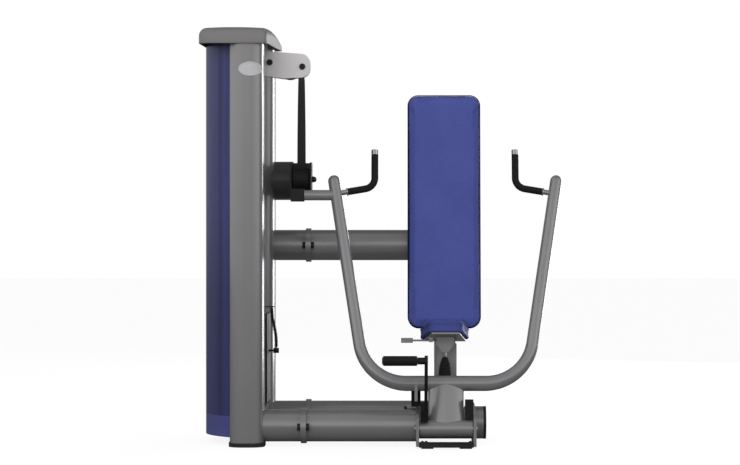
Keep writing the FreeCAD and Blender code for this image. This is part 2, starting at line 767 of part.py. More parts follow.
BRACKET_BOLT, BRACKET_SCREW = (-86, 22), (53, 4)  # from the right pulley's axle


def make_upper_pulleys():
    """Two pulleys between two plates, their axles and the bolts that clamp the plates."""
    tops = [
        ("top_pulley", top_pulley_x, size["top_pulley_height"]),
        ("bracket_pulley", bracket_pulley_x, size["bracket_pulley_height"]),
    ]
    for label, x, z in tops:
        finish(
            label,
            pulley("drum_radius", "rim_radius", "drum_wide + 2 * rim_thick", (x, stack_y, z), (0, 1, 0)),
        )
    outer = value("bracket_gap / 2 + bracket_plate")
    inner = size["bracket_gap"] / 2
    span = "bracket_gap + 2 * bracket_plate"
    front_skin = size["bracket_skin"]
    axle_long = f"{span} - bracket_skin"
    axles = [rod("axle_radius", axle_long, (x, stack_y - outer + front_skin, z), Y_AXIS) for _, x, z in tops]
    level = size["bracket_pulley_height"]
    (bolt_x, bolt_z), (screw_x, screw_z) = BRACKET_BOLT, BRACKET_SCREW
    through = (bracket_pulley_x + bolt_x, level + bolt_z)
    short = (bracket_pulley_x + screw_x, level + screw_z)
    bolts = []
    for x, z, shank in ((*through, span), (*short, "bracket_plate")):
        front = fuse(
            rod("flange_bolt", shank, (x, stack_y - outer, z), Y_AXIS),
            rod("bracket_bolt", "7", (x, stack_y - outer - 7, z), Y_AXIS),
        )
        bolts.append(front)
    bolts[0] = fuse(bolts[0], rod("bracket_bolt", "7", (through[0], stack_y + outer, through[1]), Y_AXIS))
    bolts.append(
        fuse(
            rod("flange_bolt", "bracket_plate", (short[0], stack_y + inner, short[1]), Y_AXIS),
            rod("bracket_bolt", "7", (short[0], stack_y + outer, short[1]), Y_AXIS),
        )
    )
    finish("pulley_bolts", group(*axles, *bolts))
    holes = [rod("axle_radius", axle_long, (x, stack_y - outer + front_skin, z), Y_AXIS) for _, x, z in tops]
    holes += [rod("flange_bolt", span, (x, stack_y - outer, z), Y_AXIS) for x, z in (through, short)]
    plates = group(bracket_plate(stack_y - inner), bracket_plate(stack_y + outer))
    finish("pulley_brackets", cut(plates, fuse(*holes)))


def belt_ribbon(points, half_wide, across):
    """A belt strip: a closed outline in a plane, made thick across it."""
    wire = Part.Wire(points)
    face = Part.Face(wire)
    face.translate(across * -half_wide)
    return face.extrude(across * 2 * half_wide)


def over_pulleys():
    """The belt from the stack's side of the top pulley, over both pulleys, to the falling side."""
    thick = size["belt_thick"]
    inner = size["drum_radius"] + size["belt_gap"]
    left = Vector(top_pulley_x, stack_y, size["top_pulley_height"])
    right = Vector(bracket_pulley_x, stack_y, size["bracket_pulley_height"])
    along = (right - left).normalize()
    normal = Vector(-along.z, 0, along.x)
    if normal.z < 0:
        normal = -normal

    def rim(centre, way, radius):
        return centre + way * radius

    west, east = Vector(-1, 0, 0), Vector(1, 0, 0)
    middle_left = (west + normal).normalize()
    middle_right = (east + normal).normalize()
    far = inner + thick
    sides = [
        Part.Arc(rim(left, west, far), rim(left, middle_left, far), rim(left, normal, far)),
        Part.LineSegment(rim(left, normal, far), rim(right, normal, far)),
        Part.Arc(rim(right, normal, far), rim(right, middle_right, far), rim(right, east, far)),
        Part.LineSegment(rim(right, east, far), rim(right, east, inner)),
        Part.Arc(rim(right, east, inner), rim(right, middle_right, inner), rim(right, normal, inner)),
        Part.LineSegment(rim(right, normal, inner), rim(left, normal, inner)),
        Part.Arc(rim(left, normal, inner), rim(left, middle_left, inner), rim(left, west, inner)),
        Part.LineSegment(rim(left, west, inner), rim(left, west, far)),
    ]
    return belt_ribbon([side.toShape() for side in sides], size["belt_wide"] / 2, Y_AXIS)


def falling_belt():
    """The falling run leaves the upper pulley edge on and makes a quarter turn, half of it near the top."""
    top, bottom = size["bracket_pulley_height"], size["low_pulley_height"]
    half_wide, half_thick = size["belt_wide"] / 2, size["belt_thick"] / 2
    start_x = bracket_pulley_x + size["drum_radius"] + size["belt_gap"] + half_thick
    end_y = low_pulley_y + size["low_drum"] + size["belt_gap"] + half_thick
    quick = size["twist_quick"] / (top - bottom)
    steps, rings = 8, []
    places = [quick * i / steps for i in range(steps)] + [
        quick + (1 - quick) * i / steps
        for i in range(steps + 1)
    ]
    for part_way in places:
        first, rest = min(1, part_way / quick), max(0, (part_way - quick) / (1 - quick))
        turn = math.pi / 4 * (first * first * (3 - 2 * first) + rest)
        wide = Vector(math.sin(turn), math.cos(turn), 0)
        thin = Vector(wide.y, -wide.x, 0)
        centre = Vector(
            start_x + (drop_x - start_x) * part_way,
            stack_y + (end_y - stack_y) * part_way,
            top + (bottom - top) * part_way,
        )
        corners = [
            centre + wide * (a * half_wide) + thin * (b * half_thick) for a, b in (
                (-1, -1),
                (1, -1),
                (1, 1),
                (-1, 1),
            )
        ]
        rings.append(Part.makePolygon(corners + corners[:1]))
    return Part.makeLoft(rings, True, True)


def under_pulley():
    """The belt round the back of the lower pulley and under it, and along to the front edge of the pulley."""
    centre = Vector(drop_x, low_pulley_y, size["low_pulley_height"])
    inner = size["low_drum"] + size["belt_gap"]
    far = inner + size["belt_thick"]
    back, down = Y_AXIS, Vector(0, 0, -1)
    slant = (back + down).normalize()
    sides = [
        Part.Arc(centre + back * far, centre + slant * far, centre + down * far),
        Part.LineSegment(centre + down * far, centre + down * inner),
        Part.Arc(centre + down * inner, centre + slant * inner, centre + back * inner),
        Part.LineSegment(centre + back * inner, centre + back * far),
    ]
    return belt_ribbon([side.toShape() for side in sides], size["belt_wide"] / 2, X_AXIS)


def make_belts():
    """Three stretches of one flat belt: stack side, over the pulleys and down, and out to the press arm."""
    left_x = top_pulley_x - size["drum_radius"] - size["belt_gap"] - size["belt_thick"]
    low = head_top + 30
    run = box(
        "belt_thick",
        "belt_wide",
        f"{size['top_pulley_height'] - low}",
        (left_x, stack_y - size["belt_wide"] / 2, low),
    )
    finish("stack_belt", run)
    finish("cross_belt", fixed(over_pulleys().fuse([falling_belt(), under_pulley()]).removeSplitter()))
    clamp_back = clamp_y() + size["clamp_deep"] / 2
    belt_z = size["low_pulley_height"] - size["low_drum"] - size["belt_gap"] - size["belt_thick"]
    finish(
        "arm_belt",
        box(
            "belt_wide",
            f"{low_pulley_y - clamp_back}",
            "belt_thick",
            (drop_x - size["belt_wide"] / 2, clamp_back, belt_z),
        ),
    )


def clamp_y():
    """The belt clamp's Y: on the press arm's leaning plane."""
    return pivot_y + value("belt_arm_rise * sin(lean)")


def clamp_z():
    """The belt clamp's centre height."""
    return value("pivot_height + belt_arm_rise * cos(lean)")


def make_lower_pulley():
    """Stub tube on the rear post, the block on its end, and the pulley in the block."""
    left = drop_x - size["block_left"]
    right = drop_x + size["block_right"]
    stub = tube(
        "stub_radius",
        "tube_wall",
        f"{left - rear_x}",
        (rear_x, rear_y, size["stub_height"]),
        X_AXIS,
    )
    finish("pulley_stub", cut(stub, post_solid(rear_x, rear_y)))

    front = low_pulley_y - size["low_rim"] - 4
    web_y = stack_y + 16
    tall = "block_top - block_bottom"
    low = size["block_bottom"]
    left_plate = box("block_plate", f"{rear_y + size['stub_radius'] - front}", tall, (left, front, low))
    right_plate = box(
        "block_plate",
        f"{web_y + size['block_plate'] - front}",
        tall,
        (right - size["block_plate"], front, low),
    )
    web = box("block_left + block_right", "block_plate", tall, (left, web_y, low))
    bore = rod(
        "axle_radius",
        "block_left + block_right",
        (left, low_pulley_y, size["low_pulley_height"]),
        X_AXIS,
    )
    finish("pulley_block", cut(fuse(left_plate, right_plate, web), bore))
    finish(
        "lower_pulley",
        pulley(
            "low_drum",
            "low_rim",
            "low_wide",
            (drop_x, low_pulley_y, size["low_pulley_height"]),
            (1, 0, 0),
        ),
    )
    at = (left, low_pulley_y, size["low_pulley_height"])
    head = rod("flange_bolt_head", "14", (right, low_pulley_y, size["low_pulley_height"]), X_AXIS)
    finish("lower_axle", fuse(rod("axle_radius", "block_left + block_right", at, X_AXIS), head))


# ---------------------------------------------------------------- beams and base
def flange(x, y, z):
    """One oval joint flange with its face at x, its ears to the front and back."""
    frame = Placement(Vector(x, y, z), Rotation(Y_AXIS, Z_AXIS, X_AXIS))
    return oval("beam_radius + flange_ear", "beam_radius + flange_rim", "flange_thick", (0, 0, 0), frame)


def flange_holes(x, y, z):
    """Bolt holes through both flanges of a joint."""
    return [
        rod(
            "flange_bolt",
            "2 * flange_thick",
            (x - size["flange_thick"], y + side * size["flange_bolt_reach"], z),
            X_AXIS,
        )
        for side in (-1, 1)
    ]


def make_beams():
    """Each cross beam is bolted to a stub that is welded to its post."""
    lines = [
        ("mid_beam", rear_x, rear_y, size["mid_beam_height"], seat_x - size["upright_wide"] / 2),
        ("front_beam", tower_x, front_y, size["beam_height"], seat_x - value("side_inner + side_thick")),
        ("rear_beam", rear_x, rear_y, size["beam_height"], seat_x - size["upright_wide"] / 2),
    ]
    stubs, bolts = [], []
    thick, head = size["flange_thick"], size["bolt_head_tall"]
    for label, post_x, y, z, end in lines:
        full = fuse(
            rod("beam_radius", f"{joint_x - post_x}", (post_x, y, z), X_AXIS),
            flange(joint_x - thick, y, z),
        )
        bore = rod("beam_radius - tube_wall", f"{joint_x - post_x}", (post_x, y, z), X_AXIS)
        stubs.append(cut(full, bore, post_solid(post_x, y), *flange_holes(joint_x, y, z)))
        whole = fuse(rod("beam_radius", f"{end - joint_x}", (joint_x, y, z), X_AXIS), flange(joint_x, y, z))
        hollow = rod("beam_radius - tube_wall", f"{end - joint_x}", (joint_x, y, z), X_AXIS)
        finish(label, cut(whole, hollow, *flange_holes(joint_x, y, z)))
        for side in (-1, 1):
            by = y + side * size["flange_bolt_reach"]
            bolts.append(
                fuse(
                    rod("flange_bolt", "2 * flange_thick", (joint_x - thick, by, z), X_AXIS),
                    rod("flange_bolt_head", "bolt_head_tall", (joint_x - thick - head, by, z), X_AXIS),
                    rod("flange_bolt_head", "bolt_head_tall", (joint_x + thick, by, z), X_AXIS),
                )
            )
    finish("beam_stubs", group(*stubs))
    finish("flange_bolts", group(*bolts))


def base_tube_solid():
    """The base tube's outside, to make it and to cope what meets it."""
    half = size["base_tube_half"] - size["tube_cap"]
    at = (seat_x - half, base_tube_y, size["beam_height"])
    return rod("base_tube_radius", "2 * (base_tube_half - tube_cap)", at, X_AXIS)


def stop_seat():
    """The block on the base tube that the rest buffer stands on."""
    left = seat_x - size["base_tube_half"] + size["tube_cap"]
    at = (left, base_tube_y - size["stop_seat_ahead"], size["stop_seat_low"])
    return box("stop_seat_wide", "stop_seat_long", "stop_seat_tall", at)


def buffer_block(clear="0"):
    """The rubber block that the bow's lug rests on, grown by a clearance."""
    grow = value(clear)
    low = value("stop_seat_low + stop_seat_tall + soft_gap")
    at = (seat_x - 143 - grow, front_y + size["stop_face"] - grow, low - grow)
    return box(f"39 + 2 * ({clear})", f"60 + 2 * ({clear})", "rest_buffer_tall", at)


def make_base():
    """Cross tube, side plates, front foot bar, feet, rail and upright."""
    half = size["base_tube_half"] - size["tube_cap"]
    bore = rod(
        "base_tube_radius - tube_wall",
        "2 * (base_tube_half - tube_cap)",
        (seat_x - half, base_tube_y, size["beam_height"]),
        X_AXIS,
    )
    buffer_seat = stop_seat()
    finish("base_tube", cut(fuse(base_tube_solid(), buffer_seat), bore))
    caps = [
        rod("base_tube_radius + 0.5", "tube_cap", (x, base_tube_y, size["beam_height"]), X_AXIS)
        for x in (seat_x - size["base_tube_half"], seat_x + half)
    ]
    finish("tube_caps", group(*caps))

    outline = [
        (f"{front_y} - 150", "7"),
        (f"{base_tube_y}", "7"),
        (f"{base_tube_y} + 82", "30"),
        (f"{base_tube_y} + 82", "126"),
        (f"{base_tube_y}", "168"),
        (f"{front_y} - 122", "140"),
        (f"{front_y} - 150", "124"),
    ]
    plates = []
    for side in (-1, 1):
        start = seat_x + (size["side_inner"] if side > 0 else -value("side_inner + side_thick"))
        plates.append(prism(outline, "side_thick", yz_frame(start)))
    axle_hole = rod(
        "pivot_axle_radius",
        "2 * pivot_axle_half",
        (seat_x - size["pivot_axle_half"], pivot_y, size["pivot_height"]),
        X_AXIS,
    )
    seat_notch = stop_seat()
    notches = fuse(seat_notch, buffer_block("soft_gap"))
    finish("side_plates", cut(group(*plates), fuse(base_tube_solid(), axle_hole), notches))
    finish(
        "pivot_axle",
        rod(
            "pivot_axle_radius",
            "2 * pivot_axle_half",
            (seat_x - size["pivot_axle_half"], pivot_y, size["pivot_height"]),
            X_AXIS,
        ),
    )

    bar_front = front_y - 165
    finish(
        "foot_crossbar",
        box(
            "2 * side_inner",
            "70",
            "crossbar_top - pad_tall",
            (seat_x - size["side_inner"], bar_front, size["pad_tall"]),
        ),
    )
    pads = [box("50", "64", "pad_tall", (seat_x + x, bar_front + 3, 0)) for x in (-103, 55)]
    under = (seat_x - size["upright_wide"] / 2, upright_y - size["upright_deep"] / 2, 0)
    pads.append(box("upright_wide", "upright_deep", "foot_tall", under))
    finish("rubber_feet", group(*pads))

    rail_front, rail_back = base_tube_y, upright_y - size["upright_deep"] / 2
    at = (seat_x - size["rail_wide"] / 2, rail_front, size["rail_bottom"])
    wall = size["sheet_wall"]
    rail = box("rail_wide", f"{rail_back - rail_front}", "rail_top - rail_bottom", at)
    hollow = box(
        "rail_wide - 2 * sheet_wall",
        f"{rail_back - rail_front}",
        "rail_top - rail_bottom - 2 * sheet_wall",
        (at[0] + wall, at[1], at[2] + wall),
    )
    finish("base_rail", cut(rail, hollow, base_tube_solid()))
    make_upright()


def make_upright():
    """Square upright with two arms that carry the back board."""
    wall = size["sheet_wall"]
    left, front = seat_x - size["upright_wide"] / 2, upright_y - size["upright_deep"] / 2
    low = size["foot_tall"]
    post = box("upright_wide", "upright_deep", "upright_top - foot_tall", (left, front, low))
    hollow = box(
        "upright_wide - 2 * sheet_wall",
        "upright_deep - 2 * sheet_wall",
        "upright_top - foot_tall - 2 * sheet_wall",
        (left + wall, front + wall, low + wall),
    )
    start = front_y + size["back_front"]
    arms = [box("60", f"{front - start}", "50", (seat_x - 30, start, z)) for z in (650, 1130)]
    ahead = box(
        "2 * back_half",
        "300",
        "back_long",
        (-size["back_half"], value("back_thick + board_thick + soft_gap") - 300, 0),
        back_frame,
    )
    finish("back_upright", fuse(cut(post, hollow), *[cut(arm, ahead) for arm in arms]))


# ---------------------------------------------------------------- press arm
def arm_at(rise):
    """Half spread of the arm line at a height in the leaning plane."""
    return size["bow_corner_half"] + (rise - size["bow_rise"]) * arm_slope


def bow_side(side, inset):
    """One side of the bow, or of its hollow: a tapering bend, a straight arm and its domed end."""
    rise, reach = size["bow_rise"], size["bow_corner_half"]
    turn = math.radians(90 - size["splay"])
    leg = size["bow_bend"] * math.tan(turn / 2)
    up = Vector(side * math.sin(math.radians(size["splay"])), 0, math.cos(math.radians(size["splay"])))
    corner = Vector(side * reach, 0, rise)
    inward = Vector(-side, 0, 0)
    first, last = corner + inward * leg, corner + up * leg
    middle = corner + (inward + up).normalize() * (size["bow_bend"] / math.cos(turn / 2) - size["bow_bend"])
    arc = Part.Wire([Part.Arc(first, middle, last).toShape()])
    bar_radius, arm_radius = f"bow_bar_radius - {inset}", f"bow_arm_radius - {inset}"
    bend = swept(bar_radius, arc, arm_frame, arm_radius)
    top_rise = size["bow_top_rise"]
    top = Vector(side * arm_at(top_rise), 0, top_rise)
    arm = rod(arm_radius, f"{(top - last).Length}", last, up, arm_frame)
    dome = ball(arm_radius, top, arm_frame)
    half = size["bow_corner_half"] - leg
    bar = rod(bar_radius, f"{half}", (0, 0, size["bow_rise"]), Vector(side, 0, 0), arm_frame)
    return [bend, arm, dome, bar]


def make_bow():
    """The bow with its stop lug: the lower bar, two sides and the plate that meets the stop."""
    outside = fuse(*bow_side(-1, "0"), *bow_side(1, "0"))
    hollow = fuse(*bow_side(-1, "bow_wall"), *bow_side(1, "bow_wall"))
    lug_x = seat_x - 130
    lug_outline = [
        (f"{front_y} - 90", "190"),
        (f"{front_y} + stop_face", "190"),
        (f"{front_y} + stop_face", "250"),
        (f"{front_y} - 40", "264"),
        (f"{front_y} - 90", "262"),
    ]
    lug = prism(lug_outline, "12", yz_frame(lug_x))
    finish("press_bow", cut(fuse(outside, lug), hollow))


def make_column():
    """Hinge tube with the oval column welded on, coped under the bow."""
    half = size["pivot_half"]
    hub = rod("pivot_radius", "2 * pivot_half", (-half, 0, 0), X_AXIS, arm_frame)
    bore = rod("pivot_bore", "2 * pivot_half", (-half, 0, 0), X_AXIS, arm_frame)
    stem = oval("column_half_wide", "column_half_deep", "bow_rise", (0, 0, 0), arm_frame)
    bar = rod(
        "bow_bar_radius",
        "4 * column_half_wide",
        (-2 * size["column_half_wide"], 0, size["bow_rise"]),
        X_AXIS,
        arm_frame,
    )
    core = oval(
        "column_half_wide - column_wall",
        "column_half_deep - column_wall",
        "bow_rise",
        (0, 0, 0),
        arm_frame,
    )
    finish("arm_column", cut(fuse(hub, cut(stem, core)), bore, bar))

    rings = []
    for start in (-half, half - size["bearing_long"]):
        at = (seat_x + start, pivot_y, size["pivot_height"])
        hole = rod("pivot_axle_radius + bearing_clearance", "bearing_long", at, X_AXIS)
        rings.append(cut(rod("pivot_bore", "bearing_long", at, X_AXIS), hole))
    finish("pivot_bearings", group(*rings))

    finish("rest_buffer", buffer_block())
    block_low = value("pivot_height + pivot_radius + 1.5")
    block_left = seat_x + size["column_half_wide"] + 3.5
    block_wide = "side_inner - column_half_wide - 3.5"
    finish(
        "limit_buffer",
        box(block_wide, "40", f"198 - {block_low}", (block_left, front_y - 118, block_low)),
    )


def handle_path(side, start_half, top_rise):
    """The handle's centre line from a distance off the centre to a height."""
    root, corner = size["grip_root_rise"], size["grip_bend_rise"]
    outer = arm_at(root)
    slope = (corner - root) / (outer - size["grip_half"])
    start_rise = root + (outer - start_half) * slope
    return elbow_path(
        (side * start_half, 0, start_rise),
        (side * size["grip_half"], 0, corner),
        (side * size["grip_half"], 0, top_rise),
        size["handle_bend"],
    )


def arm_line_rod(side):
    """An arm's straight outside, to cope what is welded to it."""
    slant = Vector(side * arm_slope, 0, 1).normalize()
    start = Vector(side * arm_at(700), 0, 700)
    return rod("bow_arm_radius", f"{(size['bow_top_rise'] - 700) / slant.z}", start, slant, arm_frame)


def make_handles():
    """Bent handle bars, rubber grips, and the rings and caps at the grips' ends."""
    bars, grips, ends = [], [], []
    cap_top = value("grip_top_rise + grip_cap_tall")
    for side in (-1, 1):
        outer = arm_at(size["grip_root_rise"])
        bars.append(
            cut(
                swept("handle_radius", handle_path(side, outer, cap_top - 3), arm_frame),
                arm_line_rod(side),
            )
        )
        whole = swept(
            "grip_radius",
            handle_path(side, size["grip_start_half"], size["grip_top_rise"]),
            arm_frame,
        )
        core = swept(
            "handle_radius",
            handle_path(side, size["grip_start_half"], size["grip_top_rise"]),
            arm_frame,
        )
        grips.append(cut(whole, core))
        wire = handle_path(side, size["grip_start_half"] + size["grip_ring"], size["grip_top_rise"])
        edge = wire.OrderedEdges[0]
        start, along = edge.valueAt(edge.FirstParameter), edge.tangentAt(edge.FirstParameter)
        ring_long = f"{size['grip_ring'] / abs(along.x)}"
        ring = cut(
            rod("grip_ring_radius", ring_long, start, along, arm_frame), rod(
                "handle_radius",
                ring_long,
                start,
                along,
                arm_frame,
            )
        )
        at = (side * size["grip_half"], 0, size["grip_top_rise"])
        cap = cut(
            rod("grip_radius", "grip_cap_tall", at, Z_AXIS, arm_frame),
            rod("handle_radius", "grip_cap_tall - 3", at, Z_AXIS, arm_frame),
        )
        ends += [ring, cap]
    finish("handle_bars", group(*bars))
    finish("handle_grips", group(*grips))
    finish("grip_ends", group(*ends))


def make_belt_arm():
    """Tube from the left arm to the belt clamp, and the clamp."""
    clamp_right = drop_x + size["belt_wide"] / 2
    inner = seat_x - arm_at(size["belt_arm_rise"])
    reach = tube(
        "belt_arm_radius",
        "tube_wall",
        f"{inner - clamp_right}",
        (clamp_right, clamp_y(), clamp_z()),
        X_AXIS,
    )
    finish("belt_arm", cut(reach, arm_line_rod(-1)))
    left = drop_x - size["clamp_left"]
    body = box(
        f"{clamp_right - left}",
        "clamp_deep",
        "clamp_tall",
        (left, clamp_y() - size["clamp_deep"] / 2, clamp_z() - size["clamp_tall"] / 2),
    )
    finish("belt_clamp", body)


def make_foot_lever():
    """Flat lever on the hinge tube, its collar and pin, and the roller."""
    forward, rise = size["lever_forward"], size["lever_rise"]
    slant = Rotation(X_AXIS, math.degrees(math.atan2(forward, rise)))
    frame = Placement(Vector(seat_x - size["lever_side"], pivot_y, size["pivot_height"]), slant)
    long = f"sqrt(lever_forward^2 + lever_rise^2)"
    thick = size["lever_thick"]
    bar = box("lever_thick", "2 * lever_half", long, (-thick / 2, -size["lever_half"], 0), frame)
    length = value(long)
    tip = rod("lever_half", "lever_thick", (-thick / 2, 0, length), X_AXIS, frame)
    foot = box("31", "60", "90", (-22, -30, 25), frame)
    hub = rod(
        "pivot_radius",
        "2 * pivot_half",
        (seat_x - size["pivot_half"], pivot_y, size["pivot_height"]),
        X_AXIS,
    )
    roller_y, roller_z = pivot_y - forward, size["pivot_height"] + rise
    collar_long = value("roller_inner - lever_side - lever_thick / 2")
    collar = rod(
        "collar_radius",
        f"{collar_long} - 0.3",
        (seat_x - size["roller_inner"] + 0.3, roller_y, roller_z),
        X_AXIS,
    )
    pin = rod(
        "roller_pin",
        f"roller_outer - roller_inner + {collar_long}",
        (seat_x - size["roller_outer"], roller_y, roller_z),
        X_AXIS,
    )
    washer = rod("collar_radius", "3", (seat_x - size["roller_outer"] - 3.3, roller_y, roller_z), X_AXIS)
    neck = rod("roller_pin", "1", (seat_x - size["roller_outer"] - 0.6, roller_y, roller_z), X_AXIS)
    under = box(
        "120",
        "200",
        "200",
        (seat_x - 150, pivot_y - 100, value("pivot_height + pivot_radius - lever_lap - 200")),
    )
    lever = cut(fuse(bar, tip, foot), under)
    finish("foot_lever", cut(fuse(lever, collar, pin, neck, washer), hub))
    at = (seat_x - size["roller_outer"], roller_y, roller_z)
    sleeve = rod("roller_radius", "roller_outer - roller_inner", at, X_AXIS)
    finish(
        "foot_roller",
        cut(sleeve, rod("roller_pin + axle_clearance", "roller_outer - roller_inner", at, X_AXIS)),
    )


# ---------------------------------------------------------------- seat and back
def make_seat():
    """Column, sliding seat frame, cushion, gas spring and release lever."""
    wall, clear = size["sheet_wall"], size["slide_clearance"]
    x = seat_x + size["column_aside"] - size["column_wide"] / 2
    y = front_y + size["column_back"] - size["column_deep"] / 2
    low = size["rail_top"]
    outer = box("column_wide", "column_deep", "column_top - rail_top", (x, y, low))
    inner = box(
        "column_wide - 2 * sheet_wall",
        "column_deep - 2 * sheet_wall",
        "column_top - rail_top",
        (x + wall, y + wall, low),
    )
    finish("seat_column", cut(outer, inner, base_tube_solid()))

    gap = wall + clear
    post_low = value("beam_height + base_tube_radius + 5")
    post = box(
        "column_wide - 2 * sheet_wall - 2 * slide_clearance",
        "column_deep - 2 * sheet_wall - 2 * slide_clearance",
        f"{size['seat_front_height'] - post_low}",
        (x + gap, y + gap, post_low),
    )
    hollow = box(
        "column_wide - 4 * sheet_wall - 2 * slide_clearance",
        "column_deep - 4 * sheet_wall - 2 * slide_clearance",
        f"{size['seat_front_height'] - post_low}",
        (x + gap + wall, y + gap + wall, post_low),
    )
    half_long = size["seat_long"] - 20
    board = prism(
        [
            ("-seat_front_half + 14", "12"),
            ("seat_front_half - 14", "12"),
            ("seat_back_half - 18", f"{half_long}"),
            ("-seat_back_half + 18", f"{half_long}"),
        ],
        "seat_board",
        seat_frame.multiply(Placement(Vector(0, 0, -value("seat_board + soft_gap")), Rotation())),
    )
    above = box("400", "500", "200", (-200, -50, -size["soft_gap"]), seat_frame)
    gas_y = front_y + size["gas_back"]
    gusset = prism(
        [("-14", "0"), ("14", "0"), ("37", "34"), ("37", "90"), ("-37", "90"), ("-37", "34")],
        "40",
        xz_frame(seat_x, gas_y + 20, 383),
    )
    ear_at = (
        seat_x - size["release_hinge"] - 8,
        front_y + size["release_back"] + 5 + size["soft_gap"],
        size["release_height"] - 8,
    )
    ear = box("16", "12", "60", ear_at)
    hinge_at = (seat_x - size["release_hinge"], front_y + size["release_back"] - 8, size["release_height"])
    hinge = rod("release_radius", "15", hinge_at, Y_AXIS)
    finish("seat_frame", fuse(board, cut(fuse(cut(post, hollow), gusset), above), cut(ear, above), hinge))
    outline = [
        ("-seat_front_half", "0"),
        ("seat_front_half", "0"),
        ("seat_back_half", "seat_long"),
        ("-seat_back_half", "seat_long"),
    ]
    cushion = prism(outline, "seat_thick", seat_frame)
    finish("seat_cushion", rounded(cushion, "seat_corner", lambda x, y: True))

    rod_low = 200
    finish("gas_rod", rod("gas_rod", f"{383 - rod_low}", (seat_x, gas_y, rod_low)))
    boot = fuse(
        rod("gas_radius", "gas_shoulder - beam_height", (seat_x, gas_y, size["beam_height"])),
        cone("gas_radius", "gas_rod + 4", "gas_top - gas_shoulder", (seat_x, gas_y, size["gas_shoulder"])),
    )
    bore = rod("gas_rod + 0.6", f"{size['gas_top'] - rod_low + 10}", (seat_x, gas_y, rod_low - 10))
    finish("gas_cylinder", cut(boot, bore, base_tube_solid()))
    make_release()


def make_release():
    """Seat release: an eye on its pin, a thin rod and a flat paddle."""
    y, z = front_y + size["release_back"], size["release_height"]
    hinge_x = seat_x - size["release_hinge"]
    eye = rod("release_radius + 4", "10", (hinge_x, y - 5, z), Y_AXIS)
    hole = rod("release_radius + axle_clearance", "10", (hinge_x, y - 5, z), Y_AXIS)
    stem = rod(
        "release_radius",
        "release_reach - release_hinge - 50",
        (hinge_x - value("release_reach - release_hinge") + 45, y, z),
        X_AXIS,
    )
    paddle = box("50", "5", "21", (seat_x - size["release_reach"], y - 2.5, z - 10.5))
    finish("seat_release", cut(fuse(eye, stem, paddle), hole))


def make_back():
    """Back pad and the board behind it."""
    flat = back_frame.multiply(xz_frame(0, size["back_thick"], 0))
    outline = [
        ("-back_half", "0"),
        ("back_half", "0"),
        ("back_half", "back_long"),
        ("-back_half", "back_long"),
    ]
    pad = prism(outline, "back_thick", flat)
    finish("back_pad", rounded(pad, "back_corner", lambda x, y: True))
    behind = back_frame.multiply(xz_frame(0, value("back_thick + soft_gap + board_thick"), 0))
    inset = [
        ("-back_half + 25", "30"),
        ("back_half - 25", "30"),
        ("back_half - 25", "back_long - 30"),
        ("-back_half + 25", "back_long - 30"),
    ]
    board = prism(inset, "board_thick", behind)
    finish("back_board", rounded(board, "back_corner - 15", lambda x, y: True))


# ---------------------------------------------------------------- build and write
for make in (
    make_tower, make_stack, make_upper_pulleys, make_belts, make_lower_pulley, make_beams, make_base,
    make_bow, make_column, make_handles, make_belt_arm, make_foot_lever, make_seat, make_back,
):
    make()
doc.recompute()

bad = [f"{obj.Name} ({obj.Label})" for obj in doc.Objects if {"Invalid", "Error"} & set(obj.State)]
if bad:
    raise SystemExit("failed objects: " + ", ".join(bad))
for label, obj in parts.items():
    if obj.Shape.isNull() or not obj.Shape.isValid() or not obj.Shape.Solids:
        raise SystemExit(f"{label} has no valid solid")

os.makedirs("parts", exist_ok=True)
whole = FreeCAD.BoundBox()
for label, obj in parts.items():
    obj.Shape.exportStep(f"parts/{label}.step")
    whole.add(obj.Shape.BoundBox)
print(f"{len(parts)} nodes, box {whole}")
for label, obj in parts.items():
    print(f"{label}: {len(obj.Shape.Solids)} solids, {obj.Shape.Volume / 1000:.0f} cm3")
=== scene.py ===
"""Looks for a seated chest press machine: finishes, soft and turned pieces, the studio and the camera.

Every length is in metres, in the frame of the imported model: +X from the weight tower to the seat, +Y to the
back, +Z up.
"""

from __future__ import annotations

import json
import logging
import math
from dataclasses import dataclass, field
from enum import Enum

import bpy
import numpy as np
from mathutils import Matrix, Vector

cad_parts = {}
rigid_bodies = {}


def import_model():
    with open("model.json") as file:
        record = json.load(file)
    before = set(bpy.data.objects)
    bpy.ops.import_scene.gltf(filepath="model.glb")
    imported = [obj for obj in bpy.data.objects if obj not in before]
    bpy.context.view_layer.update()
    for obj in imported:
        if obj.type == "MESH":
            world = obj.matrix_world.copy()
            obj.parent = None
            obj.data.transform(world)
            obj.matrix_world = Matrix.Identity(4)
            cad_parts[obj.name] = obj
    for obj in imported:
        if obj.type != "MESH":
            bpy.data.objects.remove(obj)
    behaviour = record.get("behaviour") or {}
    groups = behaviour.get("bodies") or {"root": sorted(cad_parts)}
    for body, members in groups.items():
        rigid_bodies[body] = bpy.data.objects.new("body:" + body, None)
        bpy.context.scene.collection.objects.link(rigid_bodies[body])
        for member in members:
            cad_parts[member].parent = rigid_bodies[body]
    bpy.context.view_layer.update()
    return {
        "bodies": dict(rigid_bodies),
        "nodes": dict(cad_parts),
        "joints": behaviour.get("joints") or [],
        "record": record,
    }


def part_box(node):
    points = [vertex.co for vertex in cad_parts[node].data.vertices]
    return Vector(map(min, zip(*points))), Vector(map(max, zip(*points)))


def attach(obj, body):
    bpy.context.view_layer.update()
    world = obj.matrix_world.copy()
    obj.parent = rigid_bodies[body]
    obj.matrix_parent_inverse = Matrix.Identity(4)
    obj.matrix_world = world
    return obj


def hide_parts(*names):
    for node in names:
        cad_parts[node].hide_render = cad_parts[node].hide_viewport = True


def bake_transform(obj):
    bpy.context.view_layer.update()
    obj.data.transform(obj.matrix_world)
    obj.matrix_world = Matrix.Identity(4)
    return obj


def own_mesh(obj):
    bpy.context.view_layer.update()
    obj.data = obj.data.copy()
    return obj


LOG = logging.getLogger("chest_press")
Array = np.ndarray
